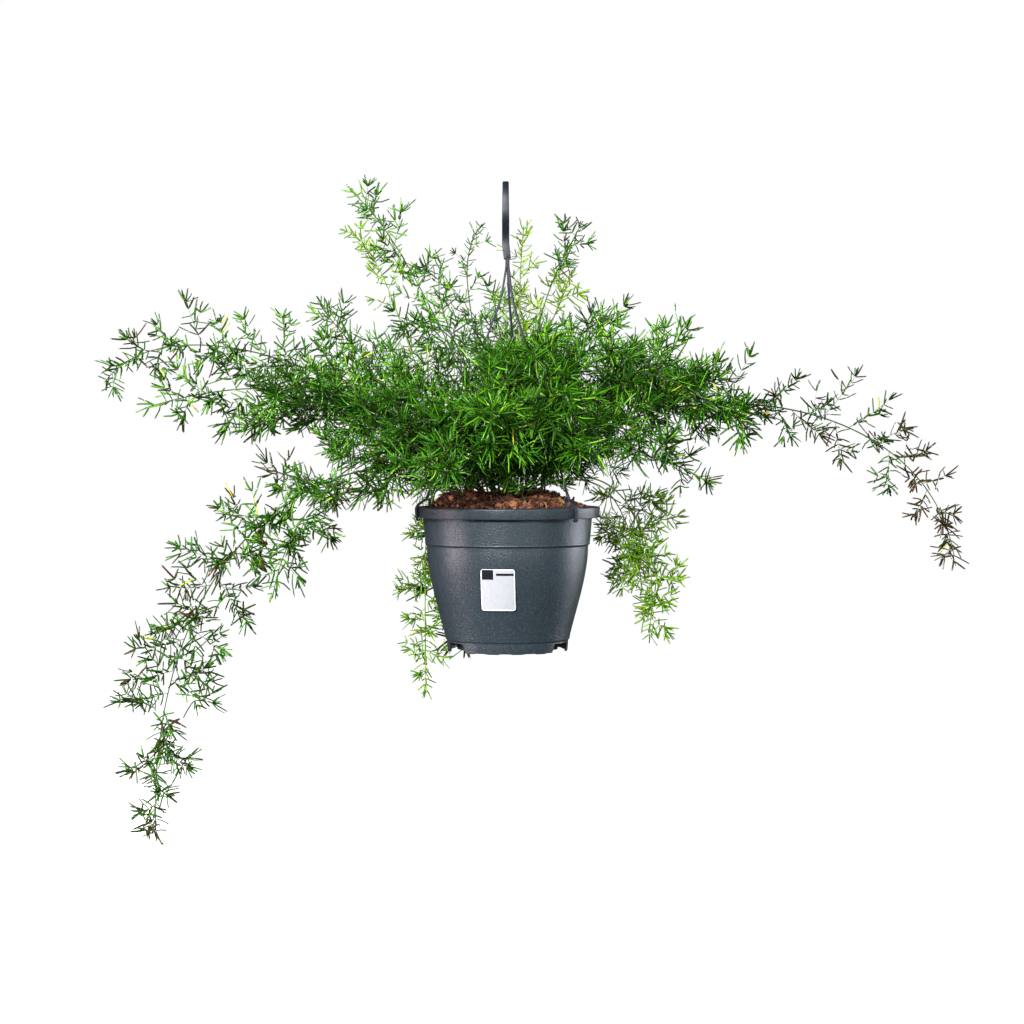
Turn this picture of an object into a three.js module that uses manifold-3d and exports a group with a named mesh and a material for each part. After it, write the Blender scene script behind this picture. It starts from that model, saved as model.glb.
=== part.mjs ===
// A sprengeri asparagus fern in a plastic hanging pot: the moulded hanger with its rod hook and three rim
// clips, the pot, the growing medium, a blank paper sticker, and 42 leafy stems that arch, climb and trail.
// Millimetres, +Z up, the viewer looks along +Y. The origin is the middle of the hook's seat, where it bears
// on a rod.
import * as THREE from "three";
import { mergeVertices } from "three/addons/utils/BufferGeometryUtils.js";
import Module from "manifold-3d";

const wasm = await Module();
wasm.setup();

// Driving dimensions
const GAP = 0.3; // between pieces that touch on the real thing
const SMALLEST = 0.06; // slivers under this are closed up
const SEED = 4.2; // of every random draw
const RIM_DROP = 322; // from the hook's seat down to the rim's top
const FIRST_CLIP = -44; // degrees round from +X; the other two clips stand 120 degrees apart

const POT = {
  sides: 32,
  wall: 1.6,
  rimRadius: 95,
  rimHeight: 11,
  lipDraft: 1,
  lipThickness: 1.9,
  neckRadius: 86.8, // outside of the wall right under the rim
  bandFoot: { radius: 84.4, height: -37 }, // the straight band ends here, and the shoulder ledge steps in
  bowlTop: { radius: 82.8, height: -39.5 },
  bowlCurve: [
    [82.8, -70],
    [70.4, -105],
  ], // control points of the bowl's side
  bowlFoot: { radius: 63.4, height: -134.9 },
  baseRadius: 61.6,
  height: 147.4,
  floorHeight: -135.4, // the top of the floor
  innerRing: { outer: 51.6, inner: 50, height: -146 }, // a second foot ring, dark behind the notches
  notchCount: 3,
  notchFirst: -148, // degrees: the notch at the front left
  notchWidth: 26,
  notchHeight: 9.5,
  slotCount: 9,
  slotRadius: 89.9,
  slotSize: [2.8, 8],
  drainCount: 6,
  drainRadius: 3.6,
  drainCircle: 36,
};

const HOOK = {
  width: 7.5,
  bore: 14, // inside radius of the arch, for a rod of 25 mm
  seat: 2.4, // half the flat seat
  crown: 12, // height of the outside of the arch above the seat
  side: 4.2, // thickness at the arch's springing
  tipDrop: 23,
  shank: 3.6,
  shankTop: -19,
  neck: -52, // where the shank comes back under the seat
  foot: -69,
};

const STRAND = {
  width: 2.6,
  thickness: 2,
  // Radius from the axis and height above the rim of the route from the hook's foot to a clip
  route: [
    [1.2, 257],
    [1.4, 246],
    [2.6, 238],
    [8, 211],
    [18, 184],
    [50, 100],
    [77, 31],
    [85.6, 9],
    [86.4, 7.2],
  ],
};
const CLIP = { width: 5, thickness: 2.4, top: 9, outerFoot: -14.2, innerFoot: -2.4, inner: 81.2, toe: 3.2 };

const LABEL = { width: 36.4, height: 41.4, turn: -98.2, from: 0.212, to: 0.665, thickness: 0.5, corner: 2.4 };

const SOIL = { sides: 20, base: -3, crown: 13, depth: 22, rings: [83.6, 69, 49, 26] };
// Lumps and hollows of the surface: x, y, reach and height
const SOIL_LUMPS = [
  [-50, -14, 22, 6],
  [36, -10, 20, 5],
  [12, -26, 15, -6],
  [-8, 44, 26, 4],
];

const BUDS = { slots: 48, rings: [38, 25, 14] }; // an angular slot a stem, on three rings in turn
const STALK = { baseRadius: 1.6, tipRadius: 1, straight: 3, step: 42, samples: 120, sway: 0.035 };
const SPRAY = { pitch: 15, every: 5, radius: 1.15, bare: 6, lift: 0.16, tilt: 58, golden: 137.5 };
const WHORL = { length: 2.6, spacing: 15, needle: 21, tilt: 52, tipCount: 2, tipSpacing: 10 };
const CLEAR = 0.45; // between anything of one stem and anything of another piece
// What a spray or a needle tries in turn until it is clear: a turn in degrees and a share of its full length
const SPRAY_TRIES = [[0, 1], [40, 1], [-40, 1], [80, 0.9], [-80, 0.9], [140, 0.8], [0, 0.6], [180, 0.6]];
const NEEDLE_TRIES = [[0, 1], [-16, 1], [12, 0.9], [-28, 0.9], [0, 0.6], [-25, 0.5]];

// Every stem is an arc in the upright plane of its slot: lift, shoulder and tip are the arc's last three
// control points, each the radius from the pot's axis and the height above the rim. Spread scales its
// sprays, and bare is the length below its first spray.
const STEMS = [
  { slot: 1, lift: [70, 85], shoulder: [150, 105], tip: [200, 48] },
  { slot: 3, lift: [50, 150], shoulder: [150, 175], tip: [252, 78], spread: 0.7 },
  { slot: 4, lift: [60, 140], shoulder: [190, 130], tip: [255, 78] },
  { slot: 5, lift: [110, 150], shoulder: [432, 140], tip: [453, -57] }, // the long right runner
  { slot: 6, lift: [40, 130], shoulder: [150, 150], tip: [230, 95] },
  { slot: 7, lift: [60, 130], shoulder: [170, 165], tip: [222, 120] },
  { slot: 8, lift: [90, 70], shoulder: [165, 62], tip: [222, 22] },
  { slot: 9, lift: [40, 135], shoulder: [140, 165], tip: [215, 105], spread: 0.7 },
  { slot: 10, lift: [90, 45], shoulder: [190, 48], tip: [174, -142], spread: 0.7, bare: 105, young: true },
  { slot: 11, lift: [90, 42], shoulder: [182, 34], tip: [180, -95], spread: 0.7, bare: 95, young: true },
  { slot: 12, lift: [30, 120], shoulder: [105, 200], tip: [178, 205], spread: 0.4 },
  { slot: 13, lift: [12, 120], shoulder: [54, 208], tip: [130, 302], spread: 0.4, bare: 235 },
  { slot: 14, lift: [30, 120], shoulder: [90, 205], tip: [150, 252], spread: 0.9, young: true },
  { slot: 15, lift: [34, 120], shoulder: [26, 220], tip: [46, 291], spread: 0.25, bare: 120, young: true },
  { slot: 17, lift: [30, 110], shoulder: [90, 190], tip: [170, 150] },
  { slot: 18, lift: [50, 140], shoulder: [150, 160], tip: [230, 60] },
  { slot: 19, lift: [20, 130], shoulder: [50, 205], tip: [110, 228], spread: 0.5 },
  { slot: 21, lift: [80, 62], shoulder: [150, 62], tip: [118, -158] }, // behind the pot
  { slot: 22, lift: [40, 110], shoulder: [150, 190], tip: [141, 262], spread: 0.6 },
  { slot: 23, lift: [20, 120], shoulder: [110, 240], tip: [42, 293], spread: 0.1, bare: 200 },
  { slot: 24, lift: [95, 70], shoulder: [136, 14], tip: [122, -200], spread: 0.2, young: true },
  { slot: 25, lift: [50, 120], shoulder: [140, 170], tip: [220, 120] },
  { slot: 26, lift: [42, 135], shoulder: [105, 255], tip: [194, 335], spread: 0.6, bare: 200 }, // the tallest
  { slot: 27, lift: [95, 80], shoulder: [120, 258], tip: [186, 290], spread: 0.3, bare: 215, young: true },
  { slot: 28, lift: [80, 90], shoulder: [340, 240], tip: [441, 130], spread: 0.8 }, // the high left runner
  { slot: 29, lift: [70, 95], shoulder: [160, 150], tip: [198, 212], spread: 0.4 },
  { slot: 30, lift: [60, 95], shoulder: [200, 125], tip: [275, 76], spread: 1.2 },
  { slot: 31, lift: [150, 100], shoulder: [374, -20], tip: [357, -333], spread: 1.1 }, // the long trailer
  { slot: 33, lift: [80, 110], shoulder: [250, 145], tip: [381, 99] },
  { slot: 34, lift: [90, 88], shoulder: [235, 74], tip: [262, -85], spread: 1.3 },
  { slot: 35, lift: [50, 125], shoulder: [150, 140], tip: [205, 70] },
  { slot: 36, lift: [70, 85], shoulder: [140, 90], tip: [176, 2] },
  { slot: 37, lift: [30, 150], shoulder: [110, 215], tip: [190, 170] },
  { slot: 38, lift: [60, 95], shoulder: [140, 105], tip: [166, 8] },
  { slot: 39, lift: [70, 70], shoulder: [132, 80], tip: [172, 24] },
  { slot: 41, lift: [50, 100], shoulder: [130, 130], tip: [190, 75] },
  { slot: 42, lift: [60, 75], shoulder: [115, 100], tip: [160, 55] },
  { slot: 43, lift: [25, 140], shoulder: [90, 180], tip: [160, 145], spread: 0.7 },
  { slot: 44, lift: [60, 95], shoulder: [130, 125], tip: [185, 75] },
  { slot: 45, lift: [40, 110], shoulder: [110, 140], tip: [175, 100], spread: 0.8 },
  { slot: 46, lift: [70, 75], shoulder: [125, 95], tip: [170, 52] },
  { slot: 47, lift: [35, 140], shoulder: [110, 180], tip: [195, 145], spread: 0.8 },
];

const finish = (color, roughness) => new THREE.MeshStandardMaterial({ color, roughness, metalness: 0 });
const MATERIALS = {
  pot: finish("#3b4447", 0.5),
  hanger: finish("#2f3a44", 0.55),
  soil: finish("#6b4430", 0.95),
  label: finish("#eef1f4", 0.6),
  mature: finish("#3f7a2a", 0.5),
  young: finish("#86b13c", 0.5),
};

const radians = THREE.MathUtils.degToRad;
const vector = (x, y, z) => new THREE.Vector3(x, y, z);

/** A repeatable draw from 0 to 1 for one item of one stem. */
function draw(stem, item, channel) {
  const wave = Math.sin(stem * 12.9898 + item * 78.233 + channel * 37.719 + SEED) * 43758.5453;
  return wave - Math.floor(wave);
}

/** A closed three.js geometry as a solid, with its shared vertices merged and empty triangles dropped. */
function solidOf(geometry) {
  const bare = geometry.index ? geometry.toNonIndexed() : geometry.clone();
  bare.deleteAttribute("normal");
  bare.deleteAttribute("uv");
  const merged = mergeVertices(bare, 1e-4);
  const triangles = [];
  for (let i = 0; i < merged.index.count; i += 3) {
    const [a, b, c] = merged.index.array.slice(i, i + 3);
    if (a !== b && b !== c && c !== a) triangles.push(a, b, c);
  }
  const vertProperties = merged.attributes.position.array;
  const triVerts = new Uint32Array(triangles);
  return new wasm.Manifold(new wasm.Mesh({ numProp: 3, vertProperties, triVerts }));
}

/** A solid as a named mesh of one material. */
function meshOf(name, solid, material) {
  const { vertProperties, triVerts } = solid.simplify(SMALLEST).getMesh();
  const geometry = new THREE.BufferGeometry();
  geometry.setAttribute("position", new THREE.BufferAttribute(vertProperties, 3));
  geometry.setIndex(new THREE.BufferAttribute(triVerts, 1));
  geometry.computeVertexNormals();
  const mesh = new THREE.Mesh(geometry, material);
  mesh.name = name;
  return mesh;
}

/** A closed profile of [radius, height] pairs turned about the Z axis. */
function turned(profile, sides) {
  const points = [...profile, profile[0]].map(([r, h]) => new THREE.Vector2(r, h));
  return new THREE.LatheGeometry(points, sides).rotateX(Math.PI / 2);
}

/** A geometry moved out along +X and then turned about Z. */
function placedRound(geometry, radius, degrees, height = 0) {
  return geometry.translate(radius, 0, height).rotateZ(radians(degrees));
}

// The bowl's side, as radius and height, from the shoulder ledge to the base ring
const bowl = new THREE.CubicBezierCurve(
  new THREE.Vector2(POT.bowlTop.radius, POT.bowlTop.height),
  new THREE.Vector2(...POT.bowlCurve[0]),
  new THREE.Vector2(...POT.bowlCurve[1]),
  new THREE.Vector2(POT.bowlFoot.radius, POT.bowlFoot.height),
);

/** The pot's outer side under the rim, top to bottom. */
function potSide(steps) {
  const points = [
    [POT.neckRadius, -POT.rimHeight],
    [POT.bandFoot.radius, POT.bandFoot.height],
  ];
  for (let i = 0; i <= steps; i++) points.push(bowl.getPoint(i / steps).toArray());
  return points;
}

function pot() {
  const { rimRadius: rim, rimHeight, lipDraft, lipThickness, wall, neckRadius } = POT;
  const { baseRadius, height, floorHeight, innerRing } = POT;
  const underside = floorHeight - 1.8;
  const chamfer = 1.5;
  const flange = 2; // thickness of the rim's flat top
  const outside = [
    [neckRadius - wall - 0.6, 0],
    [rim - chamfer, 0],
    [rim, -chamfer],
    [rim - lipDraft, -rimHeight],
    [rim - lipDraft - lipThickness, -rimHeight],
    [rim - lipDraft - lipThickness, -flange],
    [neckRadius, -flange],
    ...potSide(5),
    [baseRadius + 0.8, POT.bowlFoot.height - 1],
    [baseRadius, -height],
    [baseRadius - 2, -height],
    [baseRadius - 2, underside],
    [innerRing.outer, underside],
    [innerRing.outer, innerRing.height],
    [innerRing.inner, innerRing.height],
    [innerRing.inner, underside],
    [0, underside],
  ];
  const inside = potSide(2)
    .map(([r, h]) => [r - wall, h])
    .reverse()
    .filter(([, h]) => h > floorHeight + 4);
  const profile = [...outside, [0, floorHeight], [baseRadius - 1, floorHeight], ...inside];
  let solid = solidOf(turned(profile.reverse(), POT.sides));
  const cutters = [];
  for (let i = 0; i < POT.notchCount; i++) {
    const { notchWidth: w, notchHeight: h } = POT;
    const outline = new THREE.Shape([
      new THREE.Vector2(-w / 2 - 3, -1),
      new THREE.Vector2(w / 2 + 3, -1),
      new THREE.Vector2(w / 2, h),
      new THREE.Vector2(-w / 2, h),
    ]);
    const notch = new THREE.ExtrudeGeometry(outline, { depth: 14, bevelEnabled: false });
    notch.rotateX(Math.PI / 2).rotateZ(Math.PI / 2); // the outline now stands across the wall
    cutters.push(placedRound(notch, baseRadius - 7, POT.notchFirst + (360 / POT.notchCount) * i, -height));
  }
  for (let i = 0; i < POT.slotCount; i++) {
    const slot = new THREE.BoxGeometry(POT.slotSize[0], POT.slotSize[1], flange * 3);
    cutters.push(placedRound(slot, POT.slotRadius, FIRST_CLIP + (360 / POT.slotCount) * i, -flange / 2));
  }
  for (let i = 0; i < POT.drainCount; i++) {
    const drain = new THREE.CylinderGeometry(POT.drainRadius, POT.drainRadius, 8, 6).rotateX(Math.PI / 2);
    cutters.push(placedRound(drain, POT.drainCircle, (360 / POT.drainCount) * i, floorHeight));
  }
  for (const cutter of cutters) solid = solid.subtract(solidOf(cutter));
  return solid;
}

/** Height of the soil's surface above the rim at a point. */
function soilHeight(x, y) {
  const share = Math.hypot(x, y) / (POT.neckRadius - POT.wall);
  let height = SOIL.base + (SOIL.crown - SOIL.base) * (1 - share ** 4) - SOIL.crown * 0.3;
  for (const [cx, cy, reach, lump] of SOIL_LUMPS) {
    height += lump * Math.exp(-((x - cx) ** 2 + (y - cy) ** 2) / reach ** 2);
  }
  return height + 0.9 * Math.sin(x * 0.31 + 1) * Math.cos(y * 0.27) * (1 - share);
}

/** Faces between rings of equal count, closed to a point at each end. */
function ringedGeometry(rings, first, last) {
  const count = rings[0].length;
  const positions = [];
  const face = (...corners) => corners.forEach((v) => positions.push(v.x, v.y, v.z));
  rings.forEach((ring, k) => {
    for (let i = 0; i < count; i++) {
      const j = (i + 1) % count;
      if (k === 0) face(first, ring[j], ring[i]);
      if (k === rings.length - 1) {
        face(last, ring[i], ring[j]);
      } else {
        face(ring[i], ring[j], rings[k + 1][j]);
        face(ring[i], rings[k + 1][j], rings[k + 1][i]);
      }
    }
  });
  return new THREE.BufferGeometry().setAttribute("position", new THREE.Float32BufferAttribute(positions, 3));
}

function soil(stalks) {
  const wallRings = [
    [POT.baseRadius - 1 - 2 * GAP, POT.floorHeight + GAP],
    ...potSide(2)
      .map(([r, h]) => [r - POT.wall - 2 * GAP, h])
      .reverse()
      .filter(([, h]) => h > POT.floorHeight + 4),
  ];
  const ring = (radius, height) =>
    Array.from({ length: SOIL.sides }, (_, i) => {
      const a = (2 * Math.PI * i) / SOIL.sides;
      const [x, y] = [radius * Math.cos(a), radius * Math.sin(a)];
      return vector(x, y, height ?? soilHeight(x, y));
    });
  const rings = wallRings.map(([r, h]) => ring(r, h));
  for (const radius of SOIL.rings) rings.push(ring(radius));
  let solid = solidOf(ringedGeometry(rings, vector(0, 0, wallRings[0][1]), vector(0, 0, soilHeight(0, 0))));
  for (const { foot, frame } of stalks) {
    const hole = [-1, SOIL.depth + 20].map((rise) =>
      triangleRing(foot.clone().add(vector(0, 0, rise)), frame, STALK.baseRadius + 2 * GAP + 0.1, 0),
    );
    solid = solid.subtract(solidOf(shootGeometry([{ ring: hole[0] }, { ring: hole[1] }])));
  }
  return solid;
}

/** The rod hook: an extruded outline in the YZ plane, with a flat seat under the crown of its arch. */
function hook() {
  const { bore, seat, crown, side, tipDrop, shank, shankTop, neck, foot } = HOOK;
  const centre = -Math.sqrt(bore ** 2 - seat ** 2);
  const seatAngle = Math.acos(seat / bore);
  const outer = bore + side;
  const outline = new THREE.Shape();
  outline.moveTo(bore, -tipDrop);
  outline.lineTo(bore, centre);
  outline.absarc(0, centre, bore, 0, seatAngle, false);
  outline.absarc(0, centre, bore, Math.PI - seatAngle, Math.PI, false);
  outline.lineTo(-bore, shankTop);
  outline.bezierCurveTo(-bore, shankTop - 16, shank / 2, neck + 16, shank / 2, neck);
  outline.lineTo(shank / 2, foot);
  outline.lineTo(-shank / 2, foot);
  outline.lineTo(-shank / 2, neck);
  outline.bezierCurveTo(-shank / 2, neck + 15, -outer, shankTop - 14, -outer, shankTop);
  outline.lineTo(-outer, centre);
  outline.absellipse(0, centre, outer, crown - centre, Math.PI, 0, true);
  outline.quadraticCurveTo(outer, -tipDrop + 2, bore + side / 2, -tipDrop - 1.5);
  const extrusion = { depth: HOOK.width, bevelEnabled: false, curveSegments: 5 };
  const body = new THREE.ExtrudeGeometry(outline, extrusion);
  // The outline's x and y become Y and Z, and its depth runs along X
  return body.translate(0, 0, -HOOK.width / 2).applyMatrix4(
    new THREE.Matrix4().makeBasis(vector(0, 1, 0), vector(0, 0, 1), vector(1, 0, 0)),
  );
}

/** The points of a strand in the plane of its clip, in the part's frame. */
function strandPoints(degrees, count) {
  const curve = new THREE.CatmullRomCurve3(STRAND.route.map(([r, h]) => vector(r, 0, h - RIM_DROP)));
  return curve.getSpacedPoints(count).map((p) => p.applyAxisAngle(vector(0, 0, 1), radians(degrees)));
}

/** A clip astride the rim: a toe inside the wall, a sloping bridge, and a leg hooked under the lip. */
function clip() {
  const { thickness: t, top, outerFoot, innerFoot, inner, toe } = CLIP;
  const outside = POT.rimRadius + GAP;
  const under = -POT.rimHeight - GAP;
  const lean = POT.lipDraft * 0.9; // the leg follows the draft of the lip
  const outline = new THREE.Shape();
  outline.moveTo(inner, innerFoot);
  outline.lineTo(inner + t, innerFoot);
  outline.lineTo(inner + t, GAP * 2);
  outline.quadraticCurveTo(inner + t, top - t, inner + t + 3, top - t);
  outline.lineTo(outside - 1.7, top - t - 5);
  outline.lineTo(outside, -GAP * 2);
  outline.lineTo(outside - lean, under);
  outline.lineTo(outside - lean - toe, under);
  outline.lineTo(outside - lean - toe, under - 1);
  outline.lineTo(outside - lean, outerFoot);
  outline.lineTo(outside + t * 0.6, outerFoot + 0.8);
  outline.lineTo(outside + t, -t * 0.7);
  outline.quadraticCurveTo(outside + t - 0.2, t * 0.7, outside - 0.3, t * 1.5);
  outline.lineTo(inner + t + 4.4, top - 0.45);
  outline.quadraticCurveTo(inner + t + 3, top + 0.6, inner + t + 1, top);
  outline.quadraticCurveTo(inner, top, inner, GAP * 2);
  const extrusion = { depth: CLIP.width, bevelEnabled: false, curveSegments: 3 };
  const body = new THREE.ExtrudeGeometry(outline, extrusion);
  return body.rotateX(Math.PI / 2).translate(0, CLIP.width / 2, -RIM_DROP);
}

function hanger() {
  let solid = solidOf(hook());
  const section = new THREE.Shape();
  const [w, t] = [STRAND.width / 2, STRAND.thickness / 2];
  section.setFromPoints([
    new THREE.Vector2(-t, -w * 0.6),
    new THREE.Vector2(0, -w),
    new THREE.Vector2(t, -w * 0.6),
    new THREE.Vector2(t, w * 0.6),
    new THREE.Vector2(0, w),
    new THREE.Vector2(-t, w * 0.6),
  ]);
  for (let i = 0; i < 3; i++) {
    const degrees = FIRST_CLIP + 120 * i;
    const path = new THREE.CatmullRomCurve3(strandPoints(degrees, 14));
    const strand = new THREE.ExtrudeGeometry(section, { steps: 11, extrudePath: path, bevelEnabled: false });
    solid = solid.add(solidOf(strand)).add(solidOf(clip().rotateZ(radians(degrees))));
  }
  return solid;
}

/** The sticker: a thin plate with clipped corners, bent round the bowl's side. */
function label() {
  const { width, height, thickness, corner, turn, from, to } = LABEL;
  const plate = new THREE.BoxGeometry(width, height, thickness, 4, 4, 1);
  const flat = plate.attributes.position;
  for (let i = 0; i < flat.count; i++) {
    const [x, y, z] = [flat.getX(i), flat.getY(i), flat.getZ(i)];
    const clip = Math.abs(x) + Math.abs(y) > width / 2 + height / 2 - 1 ? 1 - corner / width : 1;
    const share = THREE.MathUtils.lerp(to, from, (y * clip) / height + 0.5);
    const { x: radius, y: drop } = bowl.getPoint(share);
    const angle = radians(turn) + (x * clip) / radius;
    const reach = radius + GAP + 0.2 + thickness / 2 + z;
    flat.setXYZ(i, reach * Math.cos(angle), reach * Math.sin(angle), drop);
  }
  return plate;
}

/** A frame across a direction: u and s span the section, and u x s is the direction. */
function frameAlong(direction, sideHint) {
  const s = sideHint.clone().addScaledVector(direction, -sideHint.dot(direction)).normalize();
  return { u: s.clone().cross(direction), s, t: direction };
}

/** Three points round a centre. */
function triangleRing(centre, { u, s }, radius, turn) {
  return [0, 120, 240].map((a) => {
    const angle = radians(a + turn);
    const offset = u.clone().multiplyScalar(radius * Math.cos(angle));
    return centre.clone().add(offset).addScaledVector(s, radius * Math.sin(angle));
  });
}

/**
 * A three-sided shoot from a list of stations. A station with tips raises a needle on each side face between
 * it and the station before it, and one with twist is joined to that station with its corners half a side on.
 */
function shootGeometry(stations, apex) {
  const positions = [];
  const face = (...corners) => corners.forEach((v) => positions.push(v.x, v.y, v.z));
  const start = stations[0].ring;
  const end = stations.at(-1).ring;
  face(start[0], start[2], start[1]);
  for (let k = 1; k < stations.length; k++) {
    const [a, b] = [stations[k - 1].ring, stations[k].ring];
    for (let i = 0; i < 3; i++) {
      const j = (i + 1) % 3;
      const tip = stations[k].tips?.[i];
      if (tip) {
        const around = [a[i], a[j], b[j], b[i]];
        around.forEach((corner, n) => face(corner, around[(n + 1) % 4], tip));
      } else if (stations[k].twist) {
        face(a[i], a[j], b[i]);
        face(a[j], b[j], b[i]);
      } else {
        face(a[i], a[j], b[j]);
        face(a[i], b[j], b[i]);
      }
    }
  }
  if (apex) [0, 1, 2].forEach((i) => face(end[i], end[(i + 1) % 3], apex));
  else face(end[0], end[1], end[2]);
  return new THREE.BufferGeometry().setAttribute("position", new THREE.Float32BufferAttribute(positions, 3));
}

/** Least distance between two straight pieces, each given by its ends. */
function apart(p1, q1, p2, q2) {
  const [d1, d2, r] = [q1.clone().sub(p1), q2.clone().sub(p2), p1.clone().sub(p2)];
  const [a, e, f, b, c] = [d1.dot(d1), d2.dot(d2), d2.dot(r), d1.dot(d2), d1.dot(r)];
  const clamp = (x) => Math.min(1, Math.max(0, x));
  const slack = a * e - b * b;
  let s = slack > 1e-9 ? clamp((b * f - c * e) / slack) : 0;
  let t = (b * s + f) / e;
  if (t < 0 || t > 1) {
    t = clamp(t);
    s = clamp((b * t - c) / a);
  }
  return p1.clone().addScaledVector(d1, s).distanceTo(p2.clone().addScaledVector(d2, t));
}

/** What foliage has to keep clear of: round bars with an owner, and the pot with its soil. */
const bars = [];
const addBar = (owner, a, b, radius) => {
  bars.push({ owner, a, b, radius, middle: a.clone().lerp(b, 0.5), half: a.distanceTo(b) / 2 });
};

function clearOfPot(point) {
  const radius = Math.hypot(point.x, point.y);
  if (radius > POT.rimRadius + 3) return true;
  const top = radius > POT.neckRadius - 4 ? 1 : soilHeight(point.x, point.y);
  return point.z > top + 1.5;
}

function isClear(owner, a, b, radius) {
  if (![0.25, 0.5, 0.75, 1].every((share) => clearOfPot(a.clone().lerp(b, share)))) return false;
  const middle = a.clone().lerp(b, 0.5);
  const half = a.distanceTo(b) / 2;
  return !bars.some((bar) => {
    if (bar.owner === owner) return false;
    const reach = bar.radius + radius + CLEAR;
    if (bar.middle.distanceTo(middle) > bar.half + half + reach) return false;
    return apart(a, b, bar.a, bar.b) < reach;
  });
}

/** Angle of a slot round the pot, in radians. */
const slotAngle = (slot) => radians(FIRST_CLIP + (360 / BUDS.slots) * slot);

/** A curve in space from closely spaced points, as a function from the length run to a place and a frame. */
function runAlong(points, across) {
  const runs = [0];
  points.slice(1).forEach((p, i) => runs.push(runs[i] + p.distanceTo(points[i])));
  const at = (run) => {
    const next = runs.findIndex((r) => r > run);
    const i = next < 0 ? points.length - 2 : Math.max(0, next - 1);
    const share = Math.min(1, (run - runs[i]) / (runs[i + 1] - runs[i]));
    const [before, after] = [points[Math.max(0, i - 2)], points[Math.min(points.length - 1, i + 3)]];
    return {
      place: points[i].clone().lerp(points[i + 1], share),
      frame: frameAlong(after.clone().sub(before).normalize(), across),
    };
  };
  return { at, length: runs.at(-1) };
}

/** A stem's stalk: straight pieces between joints on its arc, the start of its leaves, and its foot. */
function stalkOf({ slot, lift, shoulder, tip, spread = 1, bare: givenBare, young = false }) {
  const angle = slotAngle(slot);
  const root = BUDS.rings[slot % BUDS.rings.length];
  const surface = soilHeight(root * Math.cos(angle), root * Math.sin(angle)) + STALK.straight;
  const arc = new THREE.CubicBezierCurve(
    new THREE.Vector2(root, surface),
    new THREE.Vector2(...lift),
    new THREE.Vector2(...shoulder),
    new THREE.Vector2(...tip),
  );
  const across = vector(-Math.sin(angle), Math.cos(angle), 0);
  const along = vector(Math.cos(angle), Math.sin(angle), 0);
  const points = Array.from({ length: STALK.samples + 1 }, (_, i) => {
    const share = i / STALK.samples;
    const { x: r, y: h } = arc.getPoint(share);
    const sway = STALK.sway * (r - root) * Math.sin(2 * Math.PI * (share * 1.4 + draw(slot, 0, 1)));
    return vector(0, 0, h).addScaledVector(along, r).addScaledVector(across, sway);
  });
  const { at: onArc, length } = runAlong(points, across);
  const leafStart = length - WHORL.tipCount * WHORL.tipSpacing;
  const last = leafStart - WHORL.length;
  const steps = Math.ceil(last / STALK.step);
  const joints = Array.from({ length: steps + 1 }, (_, i) => (last * i) / steps);
  for (let k = 0; k <= WHORL.tipCount; k++) joints.push(leafStart + k * WHORL.tipSpacing);
  const at = (run) => {
    const k = Math.max(1, joints.findIndex((joint) => joint >= Math.min(run, joints.at(-1))));
    const [from, to] = [joints[k - 1], joints[k]];
    const place = onArc(from).place.lerp(onArc(to).place, (run - from) / (to - from));
    return { place, frame: onArc(run).frame };
  };
  const foot = points[0].clone().setZ(surface - STALK.straight - SOIL.depth);
  const bare = givenBare ?? THREE.MathUtils.clamp(0.24 * length, 42, 78);
  const frame = frameAlong(vector(0, 0, 1), across);
  return { slot, young, spread, foot, frame, at, joints, steps, length, leafStart, bare };
}

const stalkRadius = (run, length) =>
  THREE.MathUtils.lerp(STALK.baseRadius, STALK.tipRadius, Math.min(1, run / length));

/**
 * Needles for one whorl: for each side face, the first of several leans and lengths that is clear of every
 * other piece. A face with no clear way stays flat.
 */
function needleTips(owner, middle, frame, radius, turn, item) {
  return [60, 180, 300].map((a, i) => {
    const angle = radians(a + turn);
    const out = frame.u.clone().multiplyScalar(Math.cos(angle)).addScaledVector(frame.s, Math.sin(angle));
    const root = middle.clone().addScaledVector(out, radius * 0.5);
    const length = WHORL.needle * (0.85 + 0.3 * draw(owner, item * 3 + i, 7));
    for (const [tilt, share] of NEEDLE_TRIES) {
      const lean = radians(WHORL.tilt + tilt + 8 * (draw(owner, item * 3 + i, 8) - 0.5));
      const way = frame.t.clone().multiplyScalar(Math.cos(lean)).addScaledVector(out, Math.sin(lean));
      const tip = root.clone().addScaledVector(way, length * share);
      if (isClear(owner, root, tip, radius * 0.8)) {
        addBar(owner, root, tip, radius * 0.8);
        return tip;
      }
    }
    return null;
  });
}

/** Adds stations for a run of whorls along a shoot, whose place and frame come from a function of the run. */
function addWhorls(stations, owner, placeAt, start, count, spacing, radiusAt, turn, item) {
  for (let k = 0; k < count; k++) {
    const from = start + k * spacing;
    const [lower, upper] = [placeAt(from), placeAt(from + WHORL.length)];
    const angle = turn + 60 * (k + 1);
    const middle = lower.place.clone().lerp(upper.place, 0.5);
    const tips = needleTips(owner, middle, lower.frame, radiusAt(from), angle, item + k);
    stations.push({ ring: triangleRing(lower.place, lower.frame, radiusAt(from), angle), twist: true });
    stations.push({ ring: triangleRing(upper.place, lower.frame, radiusAt(from), angle), tips });
  }
}

/** The last needle, in line with the shoot. */
function endNeedle(owner, { place, frame }, radius) {
  for (const length of [WHORL.needle * 0.8, WHORL.needle * 0.4, 3]) {
    const apex = place.clone().addScaledVector(frame.t, length);
    if (length > 3 && !isClear(owner, place, apex, radius * 0.7)) continue;
    addBar(owner, place, apex, radius * 0.7);
    return apex;
  }
}

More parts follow.
